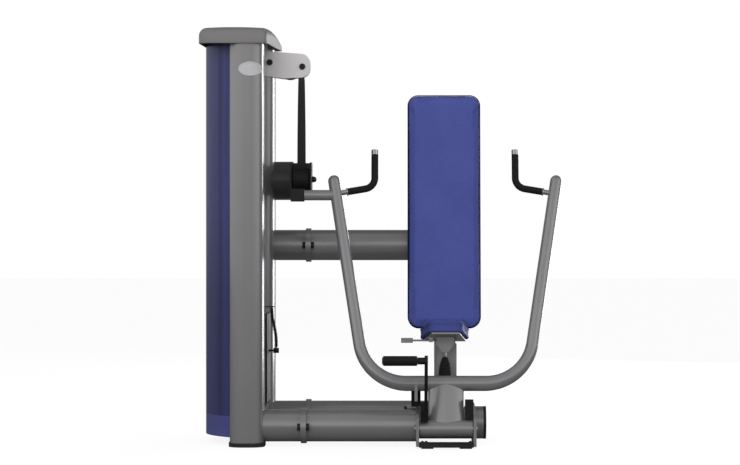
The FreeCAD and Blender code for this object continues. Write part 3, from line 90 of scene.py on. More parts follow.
X_AXIS, Y_AXIS, Z_AXIS = (1.0, 0.0, 0.0), (0.0, 1.0, 0.0), (0.0, 0.0, 1.0)
POLE = 0.0002  # radius left at the end of a turned profile, closed by a cap


class Body(str, Enum):
    """The moving bodies of the machine."""

    FRAME = "frame"
    STACK = "stack"
    PIN = "pin"
    ARM = "press_arm"
    ROLLER = "roller"
    SEAT = "seat"
    RELEASE = "release"


# ------------------------------------------------------------------ surfaces


def unit(vectors: Array) -> Array:
    """Scale each vector of an array to length one.

    Args:
        vectors: vectors along the last axis.

    Returns:
        The same vectors with length one.
    """
    return vectors / np.maximum(np.linalg.norm(vectors, axis=-1, keepdims=True), 1e-12)


def circle(sides: int) -> Array:
    """Points on a unit circle: (cos a, sin a) for evenly spaced a."""
    angle = np.linspace(0.0, 2 * np.pi, sides, endpoint=False)
    return np.stack([np.cos(angle), np.sin(angle)], axis=-1)


def soft_rectangle(sides: int, power: float = 6.0) -> Array:
    """Points on a unit superellipse, |x|^p + |y|^p = 1, spaced evenly by angle.

    Args:
        sides: number of points.
        power: 2 gives a circle, larger numbers a squarer outline.

    Returns:
        The points, one row each.
    """
    ring = circle(sides)
    reach = (np.abs(ring) ** power).sum(axis=1) ** (-1.0 / power)
    return ring * reach[:, None]


def carried(profile: Array, path: Array, wide: Array, deep: Array, scale: Array | float = 1.0) -> Array:
    """Carry a flat profile along a path.

    The point at station s and profile place p is
    path(s) + scale(s) * (profile_x(p) * wide(s) + profile_y(p) * deep(s)).

    Args:
        profile: (P, 2) outline.
        path: (N, 3) stations.
        wide: direction of the profile's first axis, one for all stations or one each.
        deep: direction of its second axis, likewise.
        scale: size of the profile at each station, one number or two for the two axes.

    Returns:
        (N, P, 3) grid of points.
    """
    stations = len(path)
    wide = np.broadcast_to(np.asarray(wide, float), (stations, 3))
    deep = np.broadcast_to(np.asarray(deep, float), (stations, 3))
    scale = np.asarray(scale, float)
    scale = scale[:, None] if scale.ndim == 1 else scale
    scale = np.broadcast_to(scale, (stations, 2))
    across = profile[None, :, 0, None] * scale[:, None, 0, None] * wide[:, None, :]
    along = profile[None, :, 1, None] * scale[:, None, 1, None] * deep[:, None, :]
    return path[:, None, :] + across + along


def tube(path: Array, radius: Array | float, hint: tuple[float, float, float], sides: int = 20) -> Array:
    """A round tube: a circle carried along a path, square to it.

    Args:
        path: (N, 3) centre line.
        radius: one radius or one for each station.
        hint: a direction never along the path, which fixes where the circle starts.
        sides: points round the circle.

    Returns:
        (N, sides, 3) grid of points.
    """
    ahead = unit(np.gradient(path, axis=0))
    side = unit(np.cross(ahead, np.asarray(hint, float)))
    radii = np.broadcast_to(np.asarray(radius, float), (len(path),))
    return carried(circle(sides), path, side, np.cross(ahead, side), radii)


def turned(profile: Array, centre: Array, axis: tuple[float, float, float], sides: int = 32) -> Array:
    """A lathe-turned shape: a circle carried along an axis, with the profile's radius at each height.

    Args:
        profile: (N, 2) heights along the axis and radii.
        centre: point of the axis at height zero.
        axis: direction of the axis.
        sides: points round the axis.

    Returns:
        (N, sides, 3) grid of points.
    """
    along = unit(np.asarray(axis, float))
    first = unit(np.cross(along, (0.0, 0.6, 0.8) if abs(along[0]) > 0.9 else (1.0, 0.0, 0.0)))
    path = np.asarray(centre, float) + profile[:, :1] * along
    return carried(circle(sides), path, first, np.cross(along, first), profile[:, 1])


def elbow(points: Array, radius: float, steps: int = 14, spacing: float = 0.004) -> Array:
    """A path of straight runs with a tangent arc at each corner.

    An arc's points are corner + leg * (back * (1 - sin a) + ahead * (1 - cos a)) blended to the true circle.

    Args:
        points: (N, 3) corners.
        radius: radius of the arcs.
        steps: points on an arc.
        spacing: longest gap between points on a straight run.

    Returns:
        The path's points.
    """
    pieces, last = [], points[0]
    for before, corner, after in zip(points[:-2], points[1:-1], points[2:]):
        back, ahead = unit(before - corner), unit(after - corner)
        half = math.acos(float(np.clip(back @ ahead, -1, 1))) / 2
        leg, centre = radius / math.tan(half), corner + unit(back + ahead) * radius / math.sin(half)
        start, end = corner + back * leg, corner + ahead * leg
        turn = np.linspace(0.0, 1.0, steps)[:, None] * (math.pi - 2 * half)
        first, second = unit(start - centre), unit(-back)
        arc = centre + radius * (np.cos(turn) * first + np.sin(turn) * second)
        pieces += [straight(last, start, spacing)[:-1], arc[:-1]]
        last = end
    pieces.append(straight(last, points[-1], spacing))
    return np.concatenate(pieces)


def straight(start: Array, end: Array, spacing: float) -> Array:
    """Evenly spaced points on a straight run, its two ends included."""
    count = max(2, int(np.linalg.norm(np.asarray(end) - np.asarray(start)) / spacing) + 1)
    part_way = np.linspace(0.0, 1.0, count)[:, None]
    return np.asarray(start) * (1 - part_way) + np.asarray(end) * part_way


def rounded_outline(corners: Array, radii: Array, arc: int = 10, run: int = 12) -> Array:
    """A polygon with rounded corners, always with the same number of points.

    Args:
        corners: (K, 2) corners, anticlockwise.
        radii: the radius at each corner.
        arc: points on each corner's arc.
        run: points on each straight side.

    Returns:
        (K * (arc + run), 2) points of the closed outline.
    """
    before, after = np.roll(corners, 1, axis=0), np.roll(corners, -1, axis=0)
    back, ahead = unit(before - corners), unit(after - corners)
    half = np.arccos(np.clip((back * ahead).sum(1), -1, 1)) / 2
    centre = corners + unit(back + ahead) * (radii / np.sin(half))[:, None]
    start = corners + back * (radii / np.tan(half))[:, None]
    turn = np.linspace(0.0, 1.0, arc)[None, :] * (np.pi - 2 * half)[:, None]
    first, second = (start - centre) / np.maximum(radii, 1e-9)[:, None], -back
    arcs = centre[:, None] + radii[:, None, None] * (
        np.cos(turn)[..., None] * first[:, None] + np.sin(turn)[..., None] * second[:, None]
    )
    part_way = np.linspace(0.0, 1.0, run + 2)[1:-1][None, :, None]
    runs = arcs[:, -1:, :] * (1 - part_way) + np.roll(arcs, -1, axis=0)[:, :1, :] * part_way
    return np.concatenate([arcs, runs], axis=1).reshape(-1, 2)


def placed(points: Array, matrix: Matrix) -> Array:
    """Move an array of points by a matrix."""
    turn = np.array(matrix.to_3x3())
    return points @ turn.T + np.array(matrix.translation)


# ------------------------------------------------------------------ meshes


@dataclass
class Shell:
    """A mesh in the making, from one or more grids of points."""

    points: list[Array] = field(default_factory=list)
    faces: list[Array] = field(default_factory=list)
    loops: list[list[int]] = field(default_factory=list)
    count: int = 0

    def grid(self, grid: Array, closed_path: bool = False, capped: bool = True) -> "Shell":
        """Add a grid whose second direction closes on itself.

        Args:
            grid: (N, P, 3) points.
            closed_path: True if the last station joins the first.
            capped: True to close both ends.

        Returns:
            This shell.
        """
        stations, around = grid.shape[:2]
        index = np.arange(stations * around).reshape(stations, around) + self.count
        upper = np.roll(index, -1, axis=0) if closed_path else index[1:]
        lower = index if closed_path else index[:-1]
        quads = np.stack([lower, np.roll(lower, -1, axis=1), np.roll(upper, -1, axis=1), upper], axis=-1)
        points, caps = grid.reshape(-1, 3), []
        if capped and not closed_path:
            caps = [list(index[0][::-1]), list(index[-1])]
        if self.volume(points, quads.reshape(-1, 4) - self.count, closed_path) < 0:
            quads, caps = quads[..., ::-1], [cap[::-1] for cap in caps]
        self.points.append(points)
        self.faces.append(quads.reshape(-1, 4))
        self.loops += [[int(i) for i in cap] for cap in caps]
        self.count += len(points)
        return self

    @staticmethod
    def volume(points: Array, quads: Array, closed: bool) -> float:
        """Six times the volume between the quads and their middle, which tells inside from outside."""
        middle = points.mean(axis=0)
        a, b, c, d = (points[quads[:, i]] - middle for i in range(4))
        return float((np.cross(a, b) * c).sum() + (np.cross(a, c) * d).sum())

    def build(self, name: str, sharp: float = 40.0) -> bpy.types.Object:
        """Make the mesh object.

        Args:
            name: the piece's name.
            sharp: edges that turn more than this many degrees stay sharp.

        Returns:
            The new object, at the origin.
        """
        mesh = bpy.data.meshes.new(name)
        faces = [list(map(int, face)) for face in np.concatenate(self.faces)] + self.loops
        mesh.from_pydata(np.concatenate(self.points).tolist(), [], faces)
        mesh.validate()
        mesh.polygons.foreach_set("use_smooth", np.ones(len(mesh.polygons), bool))
        mesh.set_sharp_from_angle(angle=math.radians(sharp))
        mesh.update()
        obj = bpy.data.objects.new(name, mesh)
        bpy.context.scene.collection.objects.link(obj)
        return obj


def grown(obj: bpy.types.Object, kind: str, **settings: object) -> bpy.types.Object:
    """Add a modifier to a piece.

    Args:
        obj: the piece.
        kind: the modifier's type.
        settings: its settings.

    Returns:
        The same piece.
    """
    modifier = obj.modifiers.new(kind.title(), kind)
    for key, setting in settings.items():
        setattr(modifier, key, setting)
    return obj


def applied(obj: bpy.types.Object) -> bpy.types.Object:
    """Turn a piece's modifiers into plain mesh."""
    mesh = bpy.data.meshes.new_from_object(obj.evaluated_get(bpy.context.evaluated_depsgraph_get()))
    obj.modifiers.clear()
    obj.data = mesh
    return obj


# ------------------------------------------------------------------ shader groups


class Graph:
    """A small helper for a node tree."""

    def __init__(self, tree: bpy.types.NodeTree) -> None:
        """Start on an empty tree."""
        self.tree = tree
        tree.nodes.clear()

    def add(self, kind: str, inputs: dict | None = None, **props: object) -> bpy.types.Node:
        """Add a node.

        Args:
            kind: the node's type.
            inputs: values or output sockets for its inputs, by name or number.
            props: its properties.

        Returns:
            The node.
        """
        node = self.tree.nodes.new(kind)
        for key, prop in props.items():
            setattr(node, key, prop)
        for key, entry in (inputs or {}).items():
            if isinstance(entry, bpy.types.NodeSocket):
                self.tree.links.new(entry, node.inputs[key])
            else:
                node.inputs[key].default_value = entry
        return node

    def math(self, operation: str, first: object, second: object = 0.0) -> bpy.types.NodeSocket:
        """The result of a sum on two numbers or sockets."""
        return self.add("ShaderNodeMath", {0: first, 1: second}, operation=operation).outputs[0]

    def noise(self, place: object, scale: object, detail: float) -> bpy.types.NodeSocket:
        """A noise's value."""
        return self.add("ShaderNodeTexNoise", {"Vector": place, "Scale": scale, "Detail": detail}).outputs[0]

    def smooth(self, socket: object, low: float, high: float, least: float) -> bpy.types.NodeSocket:
        """A smooth step from a least value, at the low end, to 1 at the high end."""
        given = {0: socket, 1: low, 2: high, 3: least, 4: 1.0}
        return self.add("ShaderNodeMapRange", given, interpolation_type="SMOOTHSTEP").outputs[0]

    def mix(self, factor: object, first: object, second: object) -> bpy.types.NodeSocket:
        """A colour part of the way from one to another."""
        node = self.add("ShaderNodeMix", {0: factor, 6: first, 7: second}, data_type="RGBA")
        return node.outputs[2]

    def between(self, socket: object, low: object, high: object) -> bpy.types.NodeSocket:
        """A number from 0 to 1 stretched to a range."""
        return self.add("ShaderNodeMapRange", {0: socket, 3: low, 4: high}).outputs[0]


def new_group(
    name: str, inputs: dict[str, tuple[str, object]], outputs: dict[str, str]
) -> tuple[Graph, dict, dict]:
    """Start a shader group with named sockets.

    Args:
        name: the group's name.
        inputs: each input's kind and default.
        outputs: each output's kind.

    Returns:
        The group's graph, its input sockets by name and its output node's inputs by name.
    """
    tree = bpy.data.node_groups.new(name, "ShaderNodeTree")
    graph = Graph(tree)
    for label, (kind, default) in inputs.items():
        socket = tree.interface.new_socket(label, in_out="INPUT", socket_type=kind)
        socket.default_value = default
    for label, kind in outputs.items():
        tree.interface.new_socket(label, in_out="OUTPUT", socket_type=kind)
    source, sink = graph.add("NodeGroupInput"), graph.add("NodeGroupOutput")
    return graph, {s.name: s for s in source.outputs if s.name}, {s.name: s for s in sink.inputs if s.name}


COLOUR, NUMBER = "NodeSocketColor", "NodeSocketFloat"
OUTPUTS = {"Color": COLOUR, "Roughness": NUMBER, "Height": NUMBER}


def coat_group() -> bpy.types.NodeTree:
    """Sprayed or moulded surface: cloudy shade, fine speckle, orange peel height, and dust low down."""
    inputs = {
        "Light": (COLOUR, (0.5, 0.5, 0.5, 1)),
        "Dark": (COLOUR, (0.4, 0.4, 0.4, 1)),
        "Cloud Scale": (NUMBER, 4.0),
        "Speckle Scale": (NUMBER, 900.0),
        "Speckle": (NUMBER, 0.3),
        "Rough Low": (NUMBER, 0.3),
        "Rough High": (NUMBER, 0.4),
        "Dust": (NUMBER, 0.1),
    }
    graph, given, result = new_group("Sprayed coat", inputs, OUTPUTS)
    place = graph.add("ShaderNodeTexCoord").outputs["Object"]
    cloud = graph.noise(place, given["Cloud Scale"], 4.0)
    speck = graph.noise(place, given["Speckle Scale"], 2.0)
    peel = graph.noise(place, 260.0, 1.0)
    centred = graph.math("MULTIPLY", graph.math("SUBTRACT", speck, 0.5), given["Speckle"])
    shade = graph.math("ADD", graph.between(cloud, 0.0, 1.0), centred)
    colour = graph.mix(shade, given["Dark"], given["Light"])
    height_up = graph.add("ShaderNodeSeparateXYZ", {0: place}).outputs[2]
    low = graph.add("ShaderNodeMapRange", {0: height_up, 1: 0.0, 2: 0.22, 3: 1.0, 4: 0.0}).outputs[0]
    dust = graph.math("MULTIPLY", graph.math("MULTIPLY", low, cloud), given["Dust"])
    dusty = graph.mix(dust, colour, (0.42, 0.41, 0.39, 1))
    graph.tree.links.new(dusty, result["Color"])
    gloss = graph.between(cloud, given["Rough Low"], given["Rough High"])
    rough = graph.math("ADD", gloss, graph.math("MULTIPLY", dust, 0.4))
    graph.tree.links.new(rough, result["Roughness"])
    height = graph.math("ADD", graph.math("MULTIPLY", peel, 0.6), graph.math("MULTIPLY", speck, 0.4))
    graph.tree.links.new(height, result["Height"])
    return graph.tree


def hide_group() -> bpy.types.NodeTree:
    """Upholstery vinyl: rounded pebbles between thin creases, with cloudy colour, painted shade darker in the
    creases, and a painted shade colour near the pad's outline where the vinyl rolls away.
    """
    inputs = {
        "Light": (COLOUR, (0.1, 0.1, 0.3, 1)),
        "Dark": (COLOUR, (0.05, 0.05, 0.2, 1)),
        # Colour of the painted shade near the pad's outline.
        "Edge Shade": (COLOUR, (0.014, 0.018, 0.075, 1)),
        "Pebble Scale": (NUMBER, 420.0),
        "Rough Low": (NUMBER, 0.4),
        "Rough High": (NUMBER, 0.5),
    }
    graph, given, result = new_group("Vinyl hide", inputs, OUTPUTS)
    place = graph.add("ShaderNodeTexCoord").outputs["Object"]
    bend = graph.add("ShaderNodeTexNoise", {"Vector": place, "Scale": 90.0, "Detail": 2.0}).outputs["Color"]
    sway = (0.004, 0.004, 0.004)
    swayed = graph.add("ShaderNodeVectorMath", {0: bend, 1: sway}, operation="MULTIPLY").outputs[0]
    moved = graph.add("ShaderNodeVectorMath", {0: place, 1: swayed}, operation="ADD").outputs[0]
    pebble = graph.add(
        "ShaderNodeTexVoronoi", {"Vector": moved, "Scale": given["Pebble Scale"]}, feature="DISTANCE_TO_EDGE"
    ).outputs["Distance"]
    rise = graph.smooth(pebble, 0.0, 0.22, 0.0)
    cloud = graph.noise(place, 7.0, 5.0)
    fine = graph.noise(place, 60.0, 3.0)
    mottle = graph.math("ADD", graph.math("MULTIPLY", cloud, 0.7), graph.math("MULTIPLY", fine, 0.3))
    # Painted shade: the colour is darker in the creases between the pebbles.
    shade = graph.math("MULTIPLY", mottle, graph.between(rise, 0.75, 1.1))
    # Painted shade: the edge shade colour is mixed in by the pad's rim weight, near its outline.
    rim = graph.add("ShaderNodeAttribute", attribute_name="rim").outputs["Fac"]
    middle = graph.mix(shade, given["Dark"], given["Light"])
    graph.tree.links.new(graph.mix(rim, middle, given["Edge Shade"]), result["Color"])
    graph.tree.links.new(graph.between(rise, given["Rough High"], given["Rough Low"]), result["Roughness"])
    graph.tree.links.new(rise, result["Height"])
    return graph.tree


def weave_group() -> bpy.types.NodeTree:
    """Crossing bands: two sine ridges at right angles give a woven or ribbed height, and the colour follows
    the height, darker in the grooves as painted shade.
    """
    inputs = {
        "Light": (COLOUR, (0.05, 0.05, 0.05, 1)),
        "Dark": (COLOUR, (0.01, 0.01, 0.01, 1)),
        "Across": (NUMBER, 300.0),
        "Along": (NUMBER, 300.0),
        "Rough Low": (NUMBER, 0.5),
        "Rough High": (NUMBER, 0.7),
    }
    graph, given, result = new_group("Woven bands", inputs, OUTPUTS)
    place = graph.add("ShaderNodeTexCoord").outputs["Object"]
    parts = graph.add("ShaderNodeSeparateXYZ", {0: place}).outputs
    flat = graph.math("ADD", parts[0], graph.math("MULTIPLY", parts[1], 0.7))
    ridge = graph.math("SINE", graph.math("MULTIPLY", flat, given["Across"]))
    rung = graph.math("SINE", graph.math("MULTIPLY", parts[2], given["Along"]))
    both = graph.math("MULTIPLY", ridge, rung)
    height = graph.math("ADD", graph.math("MULTIPLY", both, 0.5), 0.5)
    noise = graph.noise(place, 35.0, 4.0)
    # Painted shade: the colour is darker where the height is low, in the grooves.
    shade = graph.math("MULTIPLY", height, graph.between(noise, 0.5, 1.3))
    graph.tree.links.new(graph.mix(shade, given["Dark"], given["Light"]), result["Color"])
    graph.tree.links.new(graph.between(noise, given["Rough Low"], given["Rough High"]), result["Roughness"])
    graph.tree.links.new(height, result["Height"])
    return graph.tree


def sheet_group() -> bpy.types.NodeTree:
    """Tinted sheet: long upright streaks, a darker upright band that is painted shade of the weight stack
    behind it, painted shade darker low down, a fine mesh print and a pale foot strip that is painted light of
    the floor seen through it.
    """
    inputs = {
        "Light": (COLOUR, (0.1, 0.1, 0.3, 1)),
        "Dark": (COLOUR, (0.02, 0.02, 0.1, 1)),
        "Stack Shade Place": (NUMBER, -0.675),
        "Floor Light Height": (NUMBER, 0.122),
        "Mesh Scale": (NUMBER, 900.0),
    }
    graph, given, result = new_group("Streaked sheet", inputs, OUTPUTS)
    place = graph.add("ShaderNodeTexCoord").outputs["Object"]
    parts = graph.add("ShaderNodeSeparateXYZ", {0: place}).outputs
    long = graph.add("ShaderNodeMapping", {"Vector": place, "Scale": (38.0, 38.0, 1.3)}).outputs[0]
    streak = graph.noise(long, 1.0, 5.0)
    fine = graph.noise(place, 120.0, 3.0)
    # Painted shade: an upright band, darker where the weight stack stands behind the sheet.
    away = graph.math("ABSOLUTE", graph.math("SUBTRACT", parts[0], given["Stack Shade Place"]))
    stack_shade = graph.add(
        "ShaderNodeMapRange", {0: away, 1: 0.0, 2: 0.02, 3: 0.45, 4: 1.0}, interpolation_type="SMOOTHSTEP"
    ).outputs[0]
    rows = graph.math("SINE", graph.math("MULTIPLY", parts[2], given["Mesh Scale"]))
    across = graph.math("ADD", parts[0], parts[1])
    posts = graph.math("SINE", graph.math("MULTIPLY", across, given["Mesh Scale"]))
    mesh = graph.math("ADD", graph.math("MULTIPLY", graph.math("MULTIPLY", rows, posts), 0.5), 0.5)
    # Painted shade: darker low down, where the plates stand behind the sheet.
    deep = graph.smooth(parts[2], 0.55, 1.05, 0.55)
    # Painted light: a pale strip at the foot, standing for the floor seen through the sheet.
    foot = graph.math("LESS_THAN", parts[2], given["Floor Light Height"])
    shade = graph.math("MULTIPLY", graph.between(streak, 0.25, 1.15), stack_shade)
    shade = graph.math("MULTIPLY", shade, graph.between(mesh, 0.8, 1.1))
    shade = graph.math("MULTIPLY", shade, graph.between(fine, 0.7, 1.3))
    # The painted shade low down and the painted light at the foot are combined here.
    shade = graph.math("MAXIMUM", graph.math("MULTIPLY", shade, deep), graph.math("MULTIPLY", foot, 0.95))
    graph.tree.links.new(graph.mix(shade, given["Dark"], given["Light"]), result["Color"])
    graph.tree.links.new(graph.between(streak, 0.3, 0.42), result["Roughness"])
    graph.tree.links.new(mesh, result["Height"])
    return graph.tree


# ------------------------------------------------------------------ finishes

Rgb = tuple[float, float, float]


def opaque(colour: Rgb, gain: float = 1.0) -> tuple[float, float, float, float]:
    """A colour with full alpha, brightened by a gain."""
    return tuple(min(1.0, part * gain) for part in colour) + (1.0,)


@dataclass(frozen=True)
class Finish:
    """A finish of the machine: a shader group's pattern on one surface shader."""

    name: str
    slot: str
    colour: Rgb
    dark: Rgb
    group: str
    values: tuple[tuple[str, float], ...] = ()
    metallic: float = 0.0
    specular: float = 0.5
    coat: float = 0.0
    coat_roughness: float = 0.1
    bump: float = 0.1
    bump_depth: float = 0.0004
    alpha: float = 1.0

    def material(self) -> bpy.types.Material:
        """Build the material, or return it if it was built before."""
        if self.name in bpy.data.materials:
            return bpy.data.materials[self.name]
        material = bpy.data.materials.new(self.name)
        material.use_nodes = True
        graph = Graph(material.node_tree)
        pattern = graph.add("ShaderNodeGroup", node_tree=bpy.data.node_groups[self.group])
        pattern.inputs["Light"].default_value = opaque(self.colour)
        pattern.inputs["Dark"].default_value = opaque(self.dark)
        for key, number in self.values:
            pattern.inputs[key].default_value = number
        bump = graph.add(
            "ShaderNodeBump",
            {"Height": pattern.outputs["Height"], "Strength": self.bump, "Distance": self.bump_depth},
        )
        shader = graph.add(
            "ShaderNodeBsdfPrincipled",
            {
                "Base Color": pattern.outputs["Color"],
                "Roughness": pattern.outputs["Roughness"],
                "Normal": bump.outputs[0],
                "Metallic": self.metallic,
                "Specular IOR Level": self.specular,
                "Coat Weight": self.coat,
                "Coat Roughness": self.coat_roughness,
                "Alpha": self.alpha,
            },
        )
        graph.add("ShaderNodeOutputMaterial", {"Surface": shader.outputs[0]})
        return material


def coat_values(
    cloud: float, speckle_scale: float, speckle: float, low: float, high: float, dust: float = 0.08
) -> tuple[tuple[str, float], ...]:
    """Values for the sprayed coat group, in its own order."""
    return (
        ("Cloud Scale", cloud),
        ("Speckle Scale", speckle_scale),
        ("Speckle", speckle),
        ("Rough Low", low),
        ("Rough High", high),
        ("Dust", dust),
    )


COAT, HIDE, WEAVE, SHEET = "Sprayed coat", "Vinyl hide", "Woven bands", "Streaked sheet"
FRAME_PAINT = Finish(
    "Graphite frame paint", "frame_paint", (0.42, 0.41, 0.415), (0.335, 0.325, 0.33), COAT,
    coat_values(3.0, 1500.0, 0.4, 0.26, 0.32), metallic=0.55, coat=0.3, coat_roughness=0.08, bump=0.04,
)
POST_PAINT = Finish(
    "Silver post paint", "frame_paint", (0.36, 0.352, 0.354), (0.31, 0.303, 0.306), COAT,
    coat_values(2.0, 1500.0, 0.35, 0.22, 0.26), metallic=0.5, coat=0.35, coat_roughness=0.06, bump=0.03,
)
DARK_PAINT = Finish(
    "Dark block paint", "dark_paint", (0.13, 0.13, 0.13), (0.085, 0.085, 0.088), COAT,
    coat_values(4.0, 1500.0, 0.4, 0.34, 0.42), metallic=0.5, coat=0.2, bump=0.05,
)
PLATE_PAINT = Finish(
    "Light bracket paint", "bracket_paint", (0.95, 0.93, 0.94), (0.86, 0.84, 0.85), COAT,
    coat_values(5.0, 1500.0, 0.3, 0.38, 0.46), metallic=0.05, coat=0.1, bump=0.05,
)
CAP_PLASTIC = Finish(
    "Cap plastic", "cap_shell", (0.30, 0.29, 0.293), (0.25, 0.241, 0.244), COAT,
    coat_values(3.0, 900.0, 0.25, 0.42, 0.5), metallic=0.1, specular=0.3, coat=0.12, coat_roughness=0.25,
    bump=0.06,
)
BLACK_PLASTIC = Finish(
    "Black moulding", "black_plastic", (0.016, 0.016, 0.017), (0.009, 0.009, 0.01), COAT,
    coat_values(6.0, 700.0, 0.4, 0.42, 0.55), bump=0.2,
)
BLACK_RUBBER = Finish(
    "Black rubber", "black_rubber", (0.014, 0.014, 0.015), (0.007, 0.007, 0.008), COAT,
    coat_values(8.0, 500.0, 0.6, 0.55, 0.7), bump=0.35, specular=0.35,
)
BLACK_STEEL = Finish(
    "Blackened steel", "black_steel", (0.02, 0.02, 0.021), (0.012, 0.012, 0.012), COAT,
    coat_values(6.0, 900.0, 0.4, 0.3, 0.42), metallic=0.4, coat=0.2, bump=0.1,
)
BRIGHT_STEEL = Finish(
    "Bright plated steel", "bright_steel", (0.72, 0.72, 0.73), (0.6, 0.6, 0.62), COAT,
    coat_values(9.0, 700.0, 0.2, 0.1, 0.2, 0.02), metallic=1.0, bump=0.03,
)
STACK_IRON = Finish(
    "Black plate iron", "stack_iron", (0.03, 0.03, 0.031), (0.015, 0.015, 0.016), COAT,
    coat_values(7.0, 400.0, 0.7, 0.42, 0.55), metallic=0.3, bump=0.3,
)
BLUE_VINYL = Finish(
    "Blue vinyl", "blue_vinyl", (0.128, 0.160, 0.54), (0.078, 0.098, 0.36), HIDE,
    (("Pebble Scale", 420.0), ("Rough Low", 0.58), ("Rough High", 0.70)), bump=0.2, specular=0.14,
)
# A darker copy of the blue vinyl: painted shade on the back pad's side wall and piping, where the side turns
# away from the light.
SHADED_SIDE_VINYL = Finish(
    "Blue vinyl with painted side shade", "blue_vinyl", (0.02, 0.026, 0.105), (0.01, 0.013, 0.06), HIDE,
    (("Pebble Scale", 420.0), ("Rough Low", 0.65), ("Rough High", 0.75)), bump=0.15, specular=0.06,
)
BELT_RUBBER = Finish(
    "Belt webbing", "belt_web", (0.022, 0.022, 0.024), (0.006, 0.006, 0.007), WEAVE,
    (("Across", 2400.0), ("Along", 1900.0), ("Rough Low", 0.5), ("Rough High", 0.65)), bump=0.4,
)
# Its pattern paints shade where the weight stack stands behind the sheet, and light at its foot where the
# floor shows through.
SHROUD_SHEET = Finish(
    "Blue tinted shroud", "shroud_tint", (0.085, 0.098, 0.33), (0.016, 0.019, 0.07), SHEET,
    (("Stack Shade Place", -0.675), ("Floor Light Height", 0.122), ("Mesh Scale", 900.0)),
    specular=0.3, bump=0.1, alpha=0.93,
)
GUARD_SHEET = Finish(
    "Dark inner guard", "guard_tint", (0.012, 0.013, 0.03), (0.006, 0.007, 0.018), COAT,
    coat_values(5.0, 300.0, 0.6, 0.5, 0.6), bump=0.1,
)
BADGE_PLATE = Finish(
    "Badge plate", "bright_steel", (0.75, 0.75, 0.77), (0.65, 0.65, 0.67), COAT,
    coat_values(10.0, 700.0, 0.2, 0.42, 0.5, 0.0), metallic=0.15, bump=0.03,
)

NODE_FINISHES: tuple[tuple[Finish, str], ...] = (
    (POST_PAINT, "front_post rear_post"),
    (BLACK_RUBBER, "post_feet stack_bumpers rubber_feet rest_buffer limit_buffer lower_pulley"),
    (DARK_PAINT, "tower_base pulley_stub"),
    (
        FRAME_PAINT,
        "top_frame beam_stubs mid_beam front_beam rear_beam base_tube side_plates base_rail "
        "back_upright seat_column arm_column press_bow belt_arm seat_frame",
    ),
    (SHROUD_SHEET, "weight_shroud"),
    (GUARD_SHEET, "rear_guard"),
    (BRIGHT_STEEL, "guide_rods selector_stem pivot_axle handle_bars grip_ends gas_rod seat_release"),
    (STACK_IRON, "resting_plates lifted_plates head_plate"),
    (BLACK_STEEL, "pulley_bolts pulley_block lower_axle foot_crossbar pivot_bearings foot_lever"),
    (PLATE_PAINT, "pulley_brackets"),
    (BELT_RUBBER, "cross_belt"),
    (BLACK_PLASTIC, "tube_caps back_board top_pulley bracket_pulley belt_clamp"),
)
CAD_FINISHES = {node: finish for finish, nodes in NODE_FINISHES for node in nodes.split()}


def dress(obj: bpy.types.Object, finish: Finish) -> bpy.types.Object:
    """Give a piece a finish."""
    obj.data.materials.clear()
    obj.data.materials.append(finish.material())
    return obj


def stand_for(obj: bpy.types.Object, body: Body | None, finish: Finish, *nodes: str) -> bpy.types.Object:
    """Dress a finished piece, let it ride on a body and let it stand for CAD nodes.

    Args:
        obj: the piece.
        body: what it moves with, or None for a piece that rides on no body.
        finish: its finish.
        nodes: CAD nodes it stands for.

    Returns:
        The piece.
    """
    dress(obj, finish)
    if body is not None:
        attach(obj, body.value)
    if nodes:
        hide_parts(*nodes)
    mover = body.value if body else "two bodies"
    LOG.info("%s moves with %s, %d faces", obj.name, mover, len(obj.data.polygons))
    return obj


# ------------------------------------------------------------------ pieces


def span(node: str) -> tuple[Array, Array]:
    """A CAD node's lowest and highest corners.

    Args:
        node: the node's name.

    Returns:
        Two points.
    """
    low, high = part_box(node)
    return np.array(low, float), np.array(high, float)


def lean_frame(place: tuple[float, float, float], degrees: float) -> Matrix:
    """A frame at a place, turned about X.

    Args:
        place: its origin.
        degrees: its turn about X.

    Returns:
        The frame's matrix.
    """
    return Matrix.Translation(Vector(place)) @ Matrix.Rotation(math.radians(degrees), 4, "X")


def wave(length: Array, pitch: float) -> Array:
    """Rounded ribs, 0 in the grooves and 1 on the crests: half of one minus the cosine of the length."""
    return 0.5 - 0.5 * np.cos(2 * np.pi * length / pitch)


